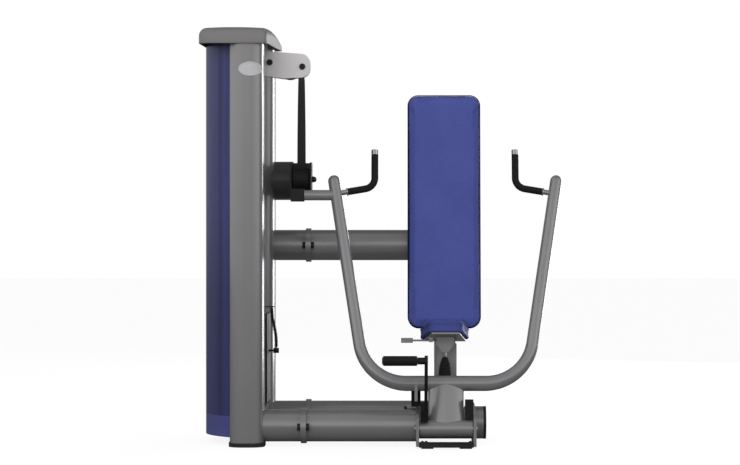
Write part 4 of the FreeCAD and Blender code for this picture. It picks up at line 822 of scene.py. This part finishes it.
@dataclass
class TopCap:
    """Moulded cap of the tower: a crowned roof that rolls over into a skirt, open below."""

    wall: float = 0.005
    skirt: float = 0.061
    lift: float = 0.022
    flare: float = 0.028
    crown: float = 0.022
    dome: float = 0.003
    roll: float = 0.033
    short: float = 0.005
    corners: tuple[float, float, float, float] = (0.066, 0.026, 0.034, 0.060)

    def ring(self, inset: float) -> Array:
        """The cap's plan, drawn in by a distance.

        Args:
            inset: how far.

        Returns:
            (P, 2) closed outline.
        """
        low, high = span("top_cap")
        low[0] += self.short
        plan = np.array([
            (low[0] + inset, low[1] + inset),
            (high[0] - self.flare - inset, low[1] + inset),
            (high[0] - inset, high[1] - inset),
            (low[0] + inset, high[1] - inset),
        ])
        radii = np.maximum(np.array(self.corners) - inset, 0.004)
        return rounded_outline(plan, radii, arc=12, run=26)

    def heights(self, y: Array) -> tuple[Array, Array]:
        """Heights of the skirt's lower edge, a straight rise, and of the roof, a parabola along Y."""
        low, high = span("top_cap")
        middle, half = (low[1] + high[1]) / 2, (high[1] - low[1]) / 2
        edge = low[2] + self.lift * (y - low[1]) / (2 * half)
        roof = low[2] + self.skirt + self.crown * (1 - ((y - middle) / half) ** 2)
        return edge, roof

    def level(self, inset: float, share: float, above: float = 0.0, shrink: float = 1.0) -> Array:
        """One ring of the surface, a share of the way from the lower edge to the roof, plus a height."""
        plan = self.ring(inset)
        middle = (plan.max(axis=0) + plan.min(axis=0)) / 2
        plan = middle + (plan - middle) * shrink
        edge, roof = self.heights(plan[:, 1])
        return np.column_stack([plan, edge + (roof - edge) * share + above])

    def build(self) -> bpy.types.Object:
        """Rings from the ceiling, down the inside, round the lower edge, up the skirt and over the roof."""
        low, high = span("top_cap")
        deepest = (high[0] - self.flare - low[0]) / 2 - 0.012
        ceiling = -self.roll * 0.4
        shrinks = np.linspace(0.02, 0.9, 12)
        rings = [self.level(deepest, 1, ceiling - 0.002, shrink) for shrink in shrinks]
        rings += [self.level(inset, 1, ceiling - 0.002) for inset in np.linspace(deepest, self.roll, 6)]
        rings += [self.level(self.wall, share, 0) for share in (0.5, 0.2, 0.02)]
        rings += [self.level(self.wall * part, 0) for part in (0.85, 0.15)]
        rings += [self.level(0, 0.02), self.level(0, 0.15), self.level(0, 0.35)]
        turn = np.linspace(0, np.pi / 2, 12)
        rings += [self.level(self.roll * (1 - math.cos(a)), 1, self.roll * (math.sin(a) - 1)) for a in turn]
        for part in np.linspace(0.06, 1, 14):
            inset = self.roll + (deepest - self.roll) * part
            rings.append(self.level(inset, 1, self.dome * (1 - (1 - part) ** 2)))
        rings += [self.level(deepest, 1, self.dome, shrink) for shrink in shrinks[::-1]]
        cap = Shell().grid(np.stack(rings)).build("tower_cap", sharp=50)
        return stand_for(cap, Body.FRAME, CAP_PLASTIC, "top_cap")


@dataclass
class PostBadge:
    """A plain oval plate, bent round the front of the post, with a raised rim."""

    half_wide: float = 0.049
    half_tall: float = 0.0295
    centre_height: float = 1.563
    post_corner: float = 0.056
    rise: float = 0.0022
    aside: float = 0.018

    def build(self) -> bpy.types.Object:
        """Rings of an ellipse on the post's front: flat in the middle, then an arc of the corner radius."""
        low, high = span("front_post")
        middle, flat = (low[0] + high[0]) / 2, (high[0] - low[0]) / 2 - self.post_corner
        shares = np.array([0.02, 0.3, 0.6, 0.8, 0.855, 0.88, 0.93, 0.97, 1.0, 1.0, 0.6, 0.02])
        lifts = np.array([0.75, 0.72, 0.66, 0.6, 0.6, 0.95, 1.0, 0.9, 0.55, 0.06, 0.06, 0.06]) * self.rise
        ring = circle(72)
        x = shares[:, None] * self.half_wide * ring[None, :, 0] + self.aside
        z = shares[:, None] * self.half_tall * ring[None, :, 1]
        past = np.maximum(np.abs(x) - flat, 0)
        angle = np.arcsin(past / self.post_corner)
        reach = self.post_corner + lifts[:, None]
        across = np.sign(x) * (np.minimum(np.abs(x), flat) + reach * np.sin(angle))
        deep = low[1] + self.post_corner - reach * np.cos(angle)
        grid = np.stack([middle + across, deep, z + self.centre_height], axis=-1)
        badge = Shell().grid(grid).build("post_badge", sharp=30)
        return stand_for(badge, Body.FRAME, BADGE_PLATE)


@dataclass
class StackBelt:
    """The belt from the head plate up to the pulley over the stack; on the machine its run gets shorter as
    the stack rises, while this piece is built once, fixed to the frame.
    """

    stroke: float = 0.53

    def build(self) -> bpy.types.Object:
        """A rounded strip carried up the belt's line."""
        low, high = span("stack_belt")
        size, middle = high - low, (low + high) / 2
        path = straight((middle[0], middle[1], low[2]), (middle[0], middle[1], high[2]), 0.006)
        profile = soft_rectangle(28, 5.0) * np.array([size[0], size[1]]) / 2
        belt = Shell().grid(carried(profile, path, X_AXIS, Y_AXIS)).build("stack_belt_run")
        stand_for(belt, Body.FRAME, BELT_RUBBER, "stack_belt")
        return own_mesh(belt)


@dataclass
class PinHoleRims:
    """A bright bushing in the pin hole of each plate, on the side that faces the seat."""

    bore: float = 0.0053
    outer: float = 0.0071
    proud: float = 0.0006
    depth: float = 0.004
    thick: float = 0.0166
    pitch: float = 0.0171

    def build(self) -> None:
        """A rounded rim turned about each hole, for the plates on each side of the pin."""
        low, high = span("selector_pin")
        y = (low[1] + high[1]) / 2
        for node, body in (("resting_plates", Body.FRAME), ("lifted_plates", Body.STACK)):
            low, high = span(node)
            profile = np.array([
                (-self.depth, self.bore), (-self.depth, self.outer), (0.0, self.outer),
                (self.proud, self.outer - 0.0005), (self.proud, self.bore + 0.0005), (0.0, self.bore),
            ])
            shell = Shell()
            for height in np.arange(low[2] + self.thick / 2, high[2], self.pitch):
                rim = turned(profile, (high[0], y, height), X_AXIS, 20)
                shell.grid(rim, closed_path=True)
            stand_for(shell.build(node.replace("plates", "hole_rims"), sharp=30), body, BRIGHT_STEEL)


@dataclass
class LowerAxle:
    """The lower pulley's axle with a washer and a domed nut on the side that faces the seat."""

    radius: float = 0.008
    washer: float = 0.0145
    nut: float = 0.0125
    long: float = 0.0195

    def build(self) -> bpy.types.Object:
        """A profile turned about the axle: the bar, the washer, the nut's side and a quarter round dome."""
        low, high = span("lower_axle")
        outer = span("pulley_block")[1][0]
        start, turn = outer + 0.0025, np.linspace(0, np.pi / 2, 12)[:-1]
        side = start + self.long - 0.0025 - self.nut
        profile = [(low[0], POLE), (low[0], self.radius), (outer, self.radius), (outer, self.washer)]
        profile += [(outer + 0.0022, self.washer), (start, self.washer - 0.0004)]
        profile += [(start, self.nut), (side, self.nut)]
        profile += [(side + self.nut * math.sin(a), self.nut * math.cos(a)) for a in turn[1:]]
        profile += [(side + self.nut, POLE)]
        centre = np.array([0.0, (low[1] + high[1]) / 2, (low[2] + high[2]) / 2])
        axle = Shell().grid(turned(np.array(profile), centre, X_AXIS, 40)).build("lower_axle_nut", sharp=35)
        return stand_for(axle, Body.FRAME, BLACK_STEEL, "lower_axle")


@dataclass
class CrossbarBolts:
    """Domed bolt heads on the foot bar, under the hinge tube."""

    radius: float = 0.0075
    tall: float = 0.0095
    places: tuple[float, ...] = (0.0135, 0.029)

    def build(self) -> bpy.types.Object:
        """A rounded head turned about Z at each place."""
        low, high = span("foot_crossbar")
        inner = span("side_plates")
        left, right = inner[0][0] + 0.012, inner[1][0] - 0.012
        turn = np.linspace(0, np.pi / 2, 9)[:-1]
        flange = self.radius + 0.002
        profile = [(0.0, POLE), (0.0, flange), (0.0015, flange), (0.0018, self.radius)]
        dome = self.tall - 0.0018
        profile += [(0.0018 + dome * math.sin(a), self.radius * math.cos(a)) for a in turn[1:]]
        profile += [(self.tall, POLE)]
        shell = Shell()
        for x in [left + place for place in self.places] + [right - self.places[0]]:
            centre = np.array([x, low[1] + 0.018, high[2] - 0.0002])
            shell.grid(turned(np.array(profile), centre, Z_AXIS, 24))
        return stand_for(shell.build("crossbar_bolts", sharp=35), Body.FRAME, BLACK_STEEL)


@dataclass
class ArmBelt:
    """The belt from under the lower pulley to the press arm's clamp."""

    def build(self) -> bpy.types.Object:
        """A rounded strip carried along Y."""
        low, high = span("arm_belt")
        size, middle = high - low, (low + high) / 2
        path = straight((middle[0], low[1], middle[2]), (middle[0], high[1], middle[2]), 0.0015)
        profile = soft_rectangle(28, 5.0) * np.array([size[0], size[2]]) / 2
        belt = Shell().grid(carried(profile, path, X_AXIS, Z_AXIS)).build("arm_belt_run")
        stand_for(belt, None, BELT_RUBBER, "arm_belt")
        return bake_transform(belt)


@dataclass
class FootRoller:
    """Ribbed rubber roller on the foot lever's pin, with rounded ends."""

    bore: float = 0.0081
    rib: float = 0.0007
    pitch: float = 0.007
    end_round: float = 0.005

    def build(self) -> bpy.types.Object:
        """A closed profile turned about the pin: bore, end faces, and ribs between quarter-round ends."""
        low, high = span("foot_roller")
        long, radius = high[0] - low[0], (high[2] - low[2]) / 2
        along = np.linspace(self.end_round, long - self.end_round, 220)
        outer = radius - self.rib * (1 - wave(along - self.end_round, self.pitch))
        turn = np.linspace(0, np.pi / 2, 7)[:-1]
        start = np.column_stack([
            self.end_round * (1 - np.sin(turn)),
            radius - self.rib - self.end_round * (1 - np.cos(turn)),
        ])[::-1]
        finish = np.column_stack([long - start[::-1, 0], start[::-1, 1]])
        bore = np.array([(long, self.bore), (long * 0.5, self.bore), (0.0, self.bore)])
        profile = np.concatenate([start, np.column_stack([along, outer]), finish, bore])
        centre = (low[0], (low[1] + high[1]) / 2, (low[2] + high[2]) / 2)
        shell = Shell().grid(turned(profile, centre, X_AXIS, 40), closed_path=True)
        roller = shell.build("ribbed_foot_roller")
        return stand_for(roller, Body.ROLLER, BLACK_RUBBER, "foot_roller")


@dataclass
class GasBoot:
    """Ribbed rubber boot over the seat's gas spring, with a rounded nose and a foot coped to the tube."""

    shoulder: float = 0.284
    bore: float = 0.0068
    rib: float = 0.0016
    pitch: float = 0.0085

    def build(self) -> bpy.types.Object:
        """A profile turned about the spring: straight ribs, a quarter ellipse, then back down the bore."""
        low, high = span("gas_cylinder")
        cap_low, cap_high = span("tube_caps")
        radius, top = (high[0] - low[0]) / 2, high[2] + 0.003
        lower = np.linspace(low[2], self.shoulder, 120)
        nose = np.linspace(0, np.pi / 2 * 0.83, 60)
        upper = self.shoulder + (top - self.shoulder) * np.sin(nose) / math.sin(nose[-1])
        heights = np.concatenate([lower, upper[1:]])
        radii = np.concatenate([np.full(120, radius), radius * np.cos(nose[1:])])
        radii -= self.rib * (1 - wave(top - heights, self.pitch)) * np.clip((top - heights) / 0.02, 0, 1)
        inner = np.array([(top - 0.002, self.bore), (low[2], self.bore)])
        profile = np.concatenate([np.column_stack([heights, radii]), inner])
        centre = ((low[0] + high[0]) / 2, (low[1] + high[1]) / 2, 0.0)
        grid = turned(profile, centre, Z_AXIS, 48)
        tube_y, tube_z = (cap_low[1:] + cap_high[1:]) / 2
        reach = (cap_high[2] - cap_low[2]) / 2
        cope = tube_z + np.sqrt(np.maximum(reach**2 - (grid[..., 1] - tube_y) ** 2, 0))
        grid[..., 2] = np.maximum(grid[..., 2], cope)
        boot = Shell().grid(grid, closed_path=True).build("gas_spring_boot")
        return stand_for(boot, Body.FRAME, BLACK_RUBBER, "gas_cylinder")


@dataclass
class HandGrips:
    """Rubber sleeves on the bent handles, finely ringed, with rounded ends."""

    lean: float = -14.0
    hinge: tuple[float, float, float] = (0.0, -0.280, 0.078)
    half: float = 0.297
    root: tuple[float, float] = (0.4605, 1.003)
    corner_rise: float = 1.031
    start_half: float = 0.410
    top_rise: float = 1.173
    bend: float = 0.048
    radius: float = 0.0150
    bore: float = 0.0111
    ring: float = 0.0005
    pitch: float = 0.0042

    def build(self, centre_x: float) -> bpy.types.Object:
        """A ringed tube along each handle, out along the outside and back along the bore.

        Args:
            centre_x: the seat's centre line.

        Returns:
            The piece.
        """
        frame = lean_frame((centre_x, self.hinge[1], self.hinge[2]), self.lean)
        shell = Shell()
        slope = (self.corner_rise - self.root[1]) / (self.root[0] - self.half)
        start_rise = self.root[1] + (self.root[0] - self.start_half) * slope
        for side in (-1, 1):
            corners = np.array([
                (side * self.start_half, 0, start_rise),
                (side * self.half, 0, self.corner_rise),
                (side * self.half, 0, self.top_rise),
            ])
            path = elbow(corners, self.bend, steps=60, spacing=0.001)
            length = np.concatenate([[0], np.cumsum(np.linalg.norm(np.diff(path, axis=0), axis=1))])
            ends = np.minimum(length, length[-1] - length)
            radius = self.radius - self.ring * (1 - wave(length, self.pitch))
            radius -= 0.0012 * np.exp(-ends / 0.0008)
            outside = tube(path, radius, Y_AXIS, 28)
            inside = tube(path, self.bore, Y_AXIS, 28)[::-1]
            shell.grid(placed(np.concatenate([outside, inside[::8], inside[-1:]]), frame), closed_path=True)
        grips = shell.build("hand_grips")
        return stand_for(grips, Body.ARM, BLACK_RUBBER, "handle_grips")


@dataclass
class CurlyCord:
    """The selector pin's curly cord: a thin wire wound round a route from the head plate to the pin."""

    wire: float = 0.0036
    outer: float = 0.0158
    pitch: float = 0.0056
    steps: int = 14
    route: tuple[tuple[float, float, float], ...] = (
        (-0.47063, 0.1, 0.5680),
        (-0.47063, 0.1, 0.5247),
        (-0.45963, 0.1, 0.4814),
        (-0.45213, 0.1, 0.4381),
        (-0.45213, 0.1, 0.3948),
    )

    def line(self) -> Array:
        """Points along the route's own smooth curve."""
        data = bpy.data.curves.new("cord_route", "CURVE")
        data.dimensions, data.resolution_u = "3D", 40
        spline = data.splines.new("NURBS")
        spline.points.add(len(self.route) - 1)
        for point, place in zip(spline.points, self.route):
            point.co = (*place, 1.0)
        spline.order_u, spline.use_endpoint_u = 3, True
        carrier = bpy.data.objects.new("cord_route", data)
        bpy.context.scene.collection.objects.link(carrier)
        bpy.context.view_layer.update()
        mesh = bpy.data.meshes.new_from_object(carrier)
        points = np.empty(len(mesh.vertices) * 3)
        mesh.vertices.foreach_get("co", points)
        bpy.data.objects.remove(carrier)
        return points.reshape(-1, 3)

    def helix(self) -> Array:
        """The wire's centre line: the route plus a circle square to it that turns once in each pitch."""
        line = self.line()
        length = np.concatenate([[0], np.cumsum(np.linalg.norm(np.diff(line, axis=0), axis=1))])
        count = int(length[-1] / self.pitch * self.steps)
        along = np.linspace(0, length[-1], count)
        centre = np.stack([np.interp(along, length, line[:, axis]) for axis in range(3)], axis=1)
        ahead = unit(np.gradient(centre, axis=0))
        side = np.cross(np.array(Y_AXIS), ahead)
        lead = np.minimum(along, length[-1] - along) / (self.pitch * 1.2)
        reach = (self.outer - self.wire) / 2 * np.clip(lead, 0, 1) ** 0.7
        turn = 2 * np.pi * along / self.pitch
        return centre + reach[:, None] * (
            np.cos(turn)[:, None] * side + np.sin(turn)[:, None] * np.array(Y_AXIS)
        )

    def build(self) -> bpy.types.Object:
        """A round wire along the helix; it stands for the pin's cord and rides on no body."""
        path = self.helix()
        cord = Shell().grid(tube(path, self.wire / 2, Z_AXIS, 9)).build("pin_curly_cord", sharp=80)
        stand_for(cord, None, BLACK_RUBBER, "pin_cord")
        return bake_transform(cord)


# From a pad's outline and the depth behind its face to its own frame: face to the front, or face up.
FACE_FRONT = Matrix(((1, 0, 0, 0), (0, 0, 1, 0), (0, 1, 0, 0), (0, 0, 0, 1)))
FACE_UP = Matrix(((1, 0, 0, 0), (0, 1, 0, 0), (0, 0, -1, 0), (0, 0, 0, 1)))


@dataclass
class StuffedPad:
    """A foam pad in vinyl: rings of its outline from the flat back, round the side and over a crowned face.

    A cloth simulation with air pressure inside puffs the rings up, and piping is laid on the seam after it.
    """

    name: str
    corners: tuple[tuple[float, float], ...]
    radii: tuple[float, ...]
    thick: float
    frame: Matrix
    roll: float
    crown: float
    seam: float
    voxel: float = 0.006
    slim: float = 0.0015
    tuck: float = 0.0025
    limit: float = 0.007
    pressure: float = 4.0
    piping: float = 0.0018
    # Strength of the painted edge shade near the pad's outline.
    rim: float = 1.0

    def ring(self, inset: float, depth: float) -> Array:
        """The outline drawn in by a distance, at a depth behind the face.

        Args:
            inset: how far it is drawn in.
            depth: its depth.

        Returns:
            (P, 3) points in the pad's own frame: x, y of the outline and depth.
        """
        corners = np.array(self.corners)
        middle = (corners.max(0) + corners.min(0)) / 2
        towards = np.sign(middle - corners)
        radii = np.maximum(np.array(self.radii) - inset, 0.006)
        plan = rounded_outline(corners + towards * inset, radii, arc=14, run=30)
        return np.column_stack([plan, np.full(len(plan), depth)])

    def face(self, inset: float) -> float:
        """Depth of the crowned face at a distance from the edge: an ellipse first and a slow dome past it."""
        near = np.clip(inset / self.roll, 0, 1)
        far = np.clip(inset / (self.reach() * 0.98), 0, 1)
        edge = (self.seam - self.crown) * (1 - math.sqrt(1 - (1 - near) ** 2))
        return self.crown * (1 - math.sin(far * math.pi / 2)) + edge

    def reach(self) -> float:
        """Half of the outline's shorter side."""
        corners = np.array(self.corners)
        return float((corners.max(0) - corners.min(0)).min() / 2)

    def rings(self) -> Array:
        """All rings of the pad, from the middle of its back to the middle of its face."""
        deepest, slim = self.reach() * 0.93, self.slim
        back = [self.ring(inset, self.thick) for inset in np.linspace(deepest, slim + 0.012, 6)]
        turn = np.linspace(0, np.pi / 2, 6)[1:]
        back += [
            self.ring(slim + 0.008 * (1 - math.sin(a)), self.thick - 0.008 * (1 - math.cos(a))) for a in turn
        ]
        wall = self.thick - 0.008 - self.seam
        sides = [
            self.ring(slim + 0.003 * math.sin(math.pi * part), self.seam + wall * (1 - part))
            for part in np.linspace(0.1, 1, 8)
        ]
        places = slim + self.roll * (1 - np.cos(np.linspace(0.12, np.pi / 2, 14)))
        front = [self.ring(inset, self.face(inset - slim)) for inset in places]
        inner = np.linspace(places[-1], deepest, 12)[1:]
        front += [self.ring(inset, self.face(inset - slim)) for inset in inner]
        return np.stack(back + sides + front)

    def puffed(self, piece: bpy.types.Object) -> bpy.types.Object:
        """Remesh the pad and let air pressure fill it, holding its back still.

        Args:
            piece: the pad's mesh, in its own frame.

        Returns:
            The same piece with its new mesh.
        """
        applied(grown(piece, "REMESH", mode="VOXEL", voxel_size=self.voxel, use_smooth_shade=True))
        rest = self.points(piece)
        held = piece.vertex_groups.new(name="held")
        held.add(np.nonzero(rest[:, 2] > self.thick - 0.012)[0].tolist(), 1.0, "REPLACE")
        piece.modifiers.new("Cloth", "CLOTH")
        cloth = piece.modifiers["Cloth"].settings
        cloth.vertex_group_mass, cloth.use_pressure = "held", True
        cloth.uniform_pressure_force = self.pressure
        cloth.effector_weights.gravity, cloth.quality = 0.0, 5
        cloth.tension_stiffness = cloth.compression_stiffness = 40.0
        scene = bpy.context.scene
        for step in range(1, 21):
            scene.frame_set(step)
        applied(piece)
        scene.frame_set(1)
        moved = self.points(piece) - rest
        middle = (rest.max(axis=0) + rest.min(axis=0)) / 2
        inward = np.sign(rest[:, :2] - middle[:2]) * moved[:, :2] < 0
        moved[:, :2] *= np.where(inward, 0.15, 1.0)
        far = np.linalg.norm(moved, axis=1, keepdims=True)
        capped = rest + moved * np.minimum(1.0, self.limit / np.maximum(far, 1e-9))
        piece.data.vertices.foreach_set("co", capped.ravel())
        return piece

    @staticmethod
    def points(piece: bpy.types.Object) -> Array:
        """A mesh's points as an array."""
        flat = np.empty(len(piece.data.vertices) * 3)
        piece.data.vertices.foreach_get("co", flat)
        return flat.reshape(-1, 3)

    def sewn(self, piece: bpy.types.Object) -> None:
        """Draw the surface in along the seam: points near the seam's depth move inwards by a bell curve."""
        points = self.points(piece)
        corners = np.array(self.corners)
        middle = (corners.max(0) + corners.min(0)) / 2
        half = (corners.max(0) - corners.min(0)) / 2
        edge = np.abs((points[:, :2] - middle) / half).max(axis=1)
        bell = np.exp(-(((points[:, 2] - self.seam) / 0.0045) ** 2)) * (edge > 0.8)
        points[:, :2] -= unit(points[:, :2] - middle) * bell[:, None] * self.tuck
        piece.data.vertices.foreach_set("co", points.ravel())

    def paint_edge_shade(self, piece: bpy.types.Object) -> None:
        """Mark how near each point is to the pad's outline, as the weight of the painted edge shade: 1 on it,
        0 from 9 mm in, a smooth step between.

        The distance is that to a rounded outline whose half width changes evenly along the pad.
        """
        points = self.points(piece)
        corners, radius = np.array(self.corners), self.radii[0]
        low, high = corners.min(0), corners.max(0)
        share = (points[:, 1] - low[1]) / (high[1] - low[1])
        half = corners[1, 0] + (corners[2, 0] - corners[1, 0]) * share
        past = np.stack([
            np.abs(points[:, 0]) - half + radius,
            np.abs(points[:, 1] - (low[1] + high[1]) / 2) - (high[1] - low[1]) / 2 + radius,
        ])
        inside = radius - np.linalg.norm(np.maximum(past, 0), axis=0) - np.minimum(past.max(axis=0), 0)
        step = np.clip((0.0095 - inside) / 0.006, 0, 1)
        rim = piece.data.attributes.new("rim", "FLOAT", "POINT")
        rim.data.foreach_set("value", self.rim * step * step * (3 - 2 * step))

    def build(self, body: Body, node: str, face: Finish, side: Finish) -> list[bpy.types.Object]:
        """The pad and its piping.

        Args:
            body: what they move with.
            node: the CAD node they stand for.
            face: finish of the face.
            side: finish of the side and the piping.

        Returns:
            The two pieces.
        """
        pad = Shell().grid(self.rings()).build(self.name)
        self.puffed(pad)
        grown(pad, "SUBSURF", levels=1, render_levels=1)
        applied(pad)
        self.sewn(pad)
        self.paint_edge_shade(pad)
        depth = self.points(pad)[:, 2]
        pad.data.materials.clear()
        loops = np.empty(len(pad.data.polygons) * 4, dtype=int)
        pad.data.transform(self.frame)
        pad.data.flip_normals()
        pad.data.polygons.foreach_set("use_smooth", np.ones(len(pad.data.polygons), bool))
        stand_for(pad, body, face, node)
        pad.data.materials.append(side.material())
        pad.data.polygons.foreach_get("vertices", loops)
        behind = depth[loops.reshape(-1, 4)].mean(axis=1) > self.seam
        pad.data.polygons.foreach_set("material_index", behind.astype(int))
        loop = self.ring(self.slim + self.tuck * 0.6, self.seam)
        loop = placed(loop, self.frame)
        hint = np.array(self.frame.to_3x3() @ Vector(Z_AXIS))
        ahead = unit(np.roll(loop, -1, axis=0) - np.roll(loop, 1, axis=0))
        across = unit(np.cross(ahead, hint))
        bead = carried(circle(14), loop, across, np.cross(ahead, across), self.piping)
        piping = Shell().grid(bead, closed_path=True).build(self.name + "_piping")
        stand_for(piping, body, side)
        return [pad, piping]


def back_pad() -> StuffedPad:
    """The long back pad, its face to the front, leaning back a little."""
    low, high = span("back_pad")
    return StuffedPad(
        name="back_pad_vinyl",
        corners=((-0.159, 0.0), (0.159, 0.0), (0.159, 1.016), (-0.159, 1.016)),
        radii=(0.050, 0.050, 0.048, 0.048),
        thick=0.070,
        frame=lean_frame(((low[0] + high[0]) / 2, 0.140, 0.477), -6.0) @ FACE_FRONT,
        roll=0.030,
        crown=0.004,
        seam=0.020,
    )


def seat_pad() -> StuffedPad:
    """The seat cushion, narrower at the front, its face up."""
    low, high = span("seat_cushion")
    thick = 0.055
    frame = lean_frame(((low[0] + high[0]) / 2, -0.185, 0.473), -8.7) @ Matrix.Translation((0, 0, thick))
    return StuffedPad(
        name="seat_cushion_vinyl",
        corners=((-0.072, 0.0), (0.072, 0.0), (0.111, 0.317), (-0.111, 0.317)),
        radii=(0.042, 0.042, 0.042, 0.042),
        thick=thick,
        frame=frame @ FACE_UP,
        roll=0.022,
        crown=0.004,
        seam=0.014,
        voxel=0.005,
        slim=0.0015,
        tuck=0.001,
        limit=0.0015,
        pressure=1.5,
        # A weaker painted edge shade on the seat.
        rim=0.3,
    )


@dataclass
class Studio:
    """Floor, lights and camera."""

    camera_place: tuple[float, float, float] = (0.0769, -10.58, 0.877)
    lens: float = 121.5
    shift: tuple[float, float] = (-0.0405, 0.0034)
    floor_glow: float = 0.88
    ceiling: float = 0.45
    gain: float = 1.0
    # Degrees round from the front, positive to the right, and how bright the wall is there.
    walls: tuple[tuple[float, float], ...] = (
        (-180, 0.20), (-150, 0.45), (-95, 0.80), (-60, 0.80), (-25, 0.72), (2, 0.52),
        (14, 0.52), (45, 0.80), (78, 1.00), (96, 0.30), (150, 0.20), (180, 0.20),
    )

    def build(self) -> None:
        """Make all of it."""
        self.floor()
        self.surroundings()
        self.camera()

    def floor(self) -> None:
        """A wide pale floor, lit from within to the eye, so that it meets the white wall without a line."""
        mesh = bpy.data.meshes.new("floor")
        reach = 40.0
        corners = [(-reach, -reach, 0), (reach, -reach, 0), (reach, reach, 0), (-reach, reach, 0)]
        mesh.from_pydata(corners, [], [(0, 1, 2, 3)])
        floor = bpy.data.objects.new("floor", mesh)
        bpy.context.scene.collection.objects.link(floor)
        material = bpy.data.materials.new("Pale floor")
        material.use_nodes = True
        graph = Graph(material.node_tree)
        seen = graph.add("ShaderNodeLightPath").outputs["Is Camera Ray"]
        shader = graph.add(
            "ShaderNodeBsdfPrincipled",
            {
                "Base Color": (0.24, 0.24, 0.24, 1),
                "Roughness": 0.9,
                "Specular IOR Level": 0.1,
                "Emission Color": (1, 1, 1, 1),
                "Emission Strength": graph.math("MULTIPLY", seen, self.floor_glow),
            },
        )
        graph.add("ShaderNodeOutputMaterial", {"Surface": shader.outputs[0]})
        mesh.materials.append(material)

    def surroundings(self) -> None:
        """White to the eye; reflections see grey walls that change round the room, and a dim ceiling."""
        world = bpy.data.worlds.new("Studio")
        bpy.context.scene.world = world
        world.use_nodes = True
        graph = Graph(world.node_tree)
        direction = graph.add("ShaderNodeTexCoord").outputs["Generated"]
        parts = graph.add("ShaderNodeSeparateXYZ", {0: direction}).outputs
        turn = graph.math("ARCTAN2", parts[0], graph.math("MULTIPLY", parts[1], -1.0))
        place = graph.add("ShaderNodeMapRange", {0: turn, 1: -math.pi, 2: math.pi}).outputs[0]
        ramp = graph.add("ShaderNodeValToRGB", {0: place})
        ramp.color_ramp.interpolation = "EASE"
        while len(ramp.color_ramp.elements) < len(self.walls):
            ramp.color_ramp.elements.new(0.5)
        for element, (degrees, level) in zip(ramp.color_ramp.elements, self.walls):
            element.position = (degrees + 180) / 360
            element.color = (level, level, level, 1)
        fade = {0: parts[2], 1: 0.25, 2: 0.8, 3: 1.0, 4: self.ceiling}
        top = graph.add("ShaderNodeMapRange", fade).outputs[0]
        level = graph.math("MULTIPLY", graph.math("MULTIPLY", ramp.outputs[0], top), self.gain)
        seen = graph.add("ShaderNodeLightPath").outputs["Is Camera Ray"]
        strength = graph.add("ShaderNodeMix", {0: seen, 2: level, 3: 1.0}, data_type="FLOAT").outputs[0]
        back = graph.add("ShaderNodeBackground", {"Color": (1, 1, 1, 1), "Strength": strength})
        graph.add("ShaderNodeOutputWorld", {"Surface": back.outputs[0]})
        self.softbox("front softbox", (-1.2, -8.5, 3.2), (0.0, 0.0, 0.8), (6.0, 3.0), 260.0, False)
        self.softbox("rim wall", (3.7, 5.35, 1.25), (-0.2, 0.0, 1.0), (4.2, 3.4), 210.0, True)

    @staticmethod
    def softbox(name: str, place: tuple, target: tuple, size: tuple[float, float], power: float,
                mirrored: bool) -> None:
        """A rectangular area light that faces a target and is itself out of sight.

        Args:
            name: its name.
            place: where it is.
            target: where it points.
            size: its width and height.
            power: its power in watts.
            mirrored: True if shiny surfaces show it.
        """
        light = bpy.data.lights.new(name, "AREA")
        light.shape, light.energy = "RECTANGLE", power
        light.size, light.size_y = size
        obj = bpy.data.objects.new(name, light)
        obj.visible_camera, obj.visible_glossy = False, mirrored
        obj.location = place
        obj.rotation_euler = (Vector(target) - Vector(place)).to_track_quat("-Z", "Y").to_euler()
        bpy.context.scene.collection.objects.link(obj)

    def camera(self) -> None:
        """A long lens, level, looking along +Y."""
        data = bpy.data.cameras.new("camera")
        data.lens, data.sensor_width = self.lens, 36.0
        data.shift_x, data.shift_y = self.shift
        data.clip_end = 200.0
        camera = bpy.data.objects.new("camera", data)
        camera.location = self.camera_place
        camera.rotation_euler = (math.radians(90), 0, 0)
        bpy.context.scene.collection.objects.link(camera)
        bpy.context.scene.camera = camera
        bpy.context.scene.view_settings.view_transform = "Standard"


def main() -> None:
    """Build the scene."""
    logging.basicConfig(level=logging.INFO, format="%(message)s")
    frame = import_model()
    for make in (coat_group, hide_group, weave_group, sheet_group):
        make()
    for node, obj in frame["nodes"].items():
        finish = CAD_FINISHES.get(node, BLACK_STEEL)
        obj.data.materials.clear()
        obj.data.materials.append(finish.material())
    Studio().build()
    CurlyCord().build()
    TopCap().build()
    PostBadge().build()
    StackBelt().build()
    PinHoleRims().build()
    LowerAxle().build()
    CrossbarBolts().build()
    ArmBelt().build()
    FootRoller().build()
    GasBoot().build()
    low, high = span("base_tube")
    HandGrips().build((low[0] + high[0]) / 2)
    # The back pad's side and piping get the darker copy of the blue vinyl, painted shade.
    back_pad().build(Body.FRAME, "back_pad", BLUE_VINYL, SHADED_SIDE_VINYL)
    seat_pad().build(Body.SEAT, "seat_cushion", BLUE_VINYL, BLUE_VINYL)


if __name__ == "__main__":
    main()
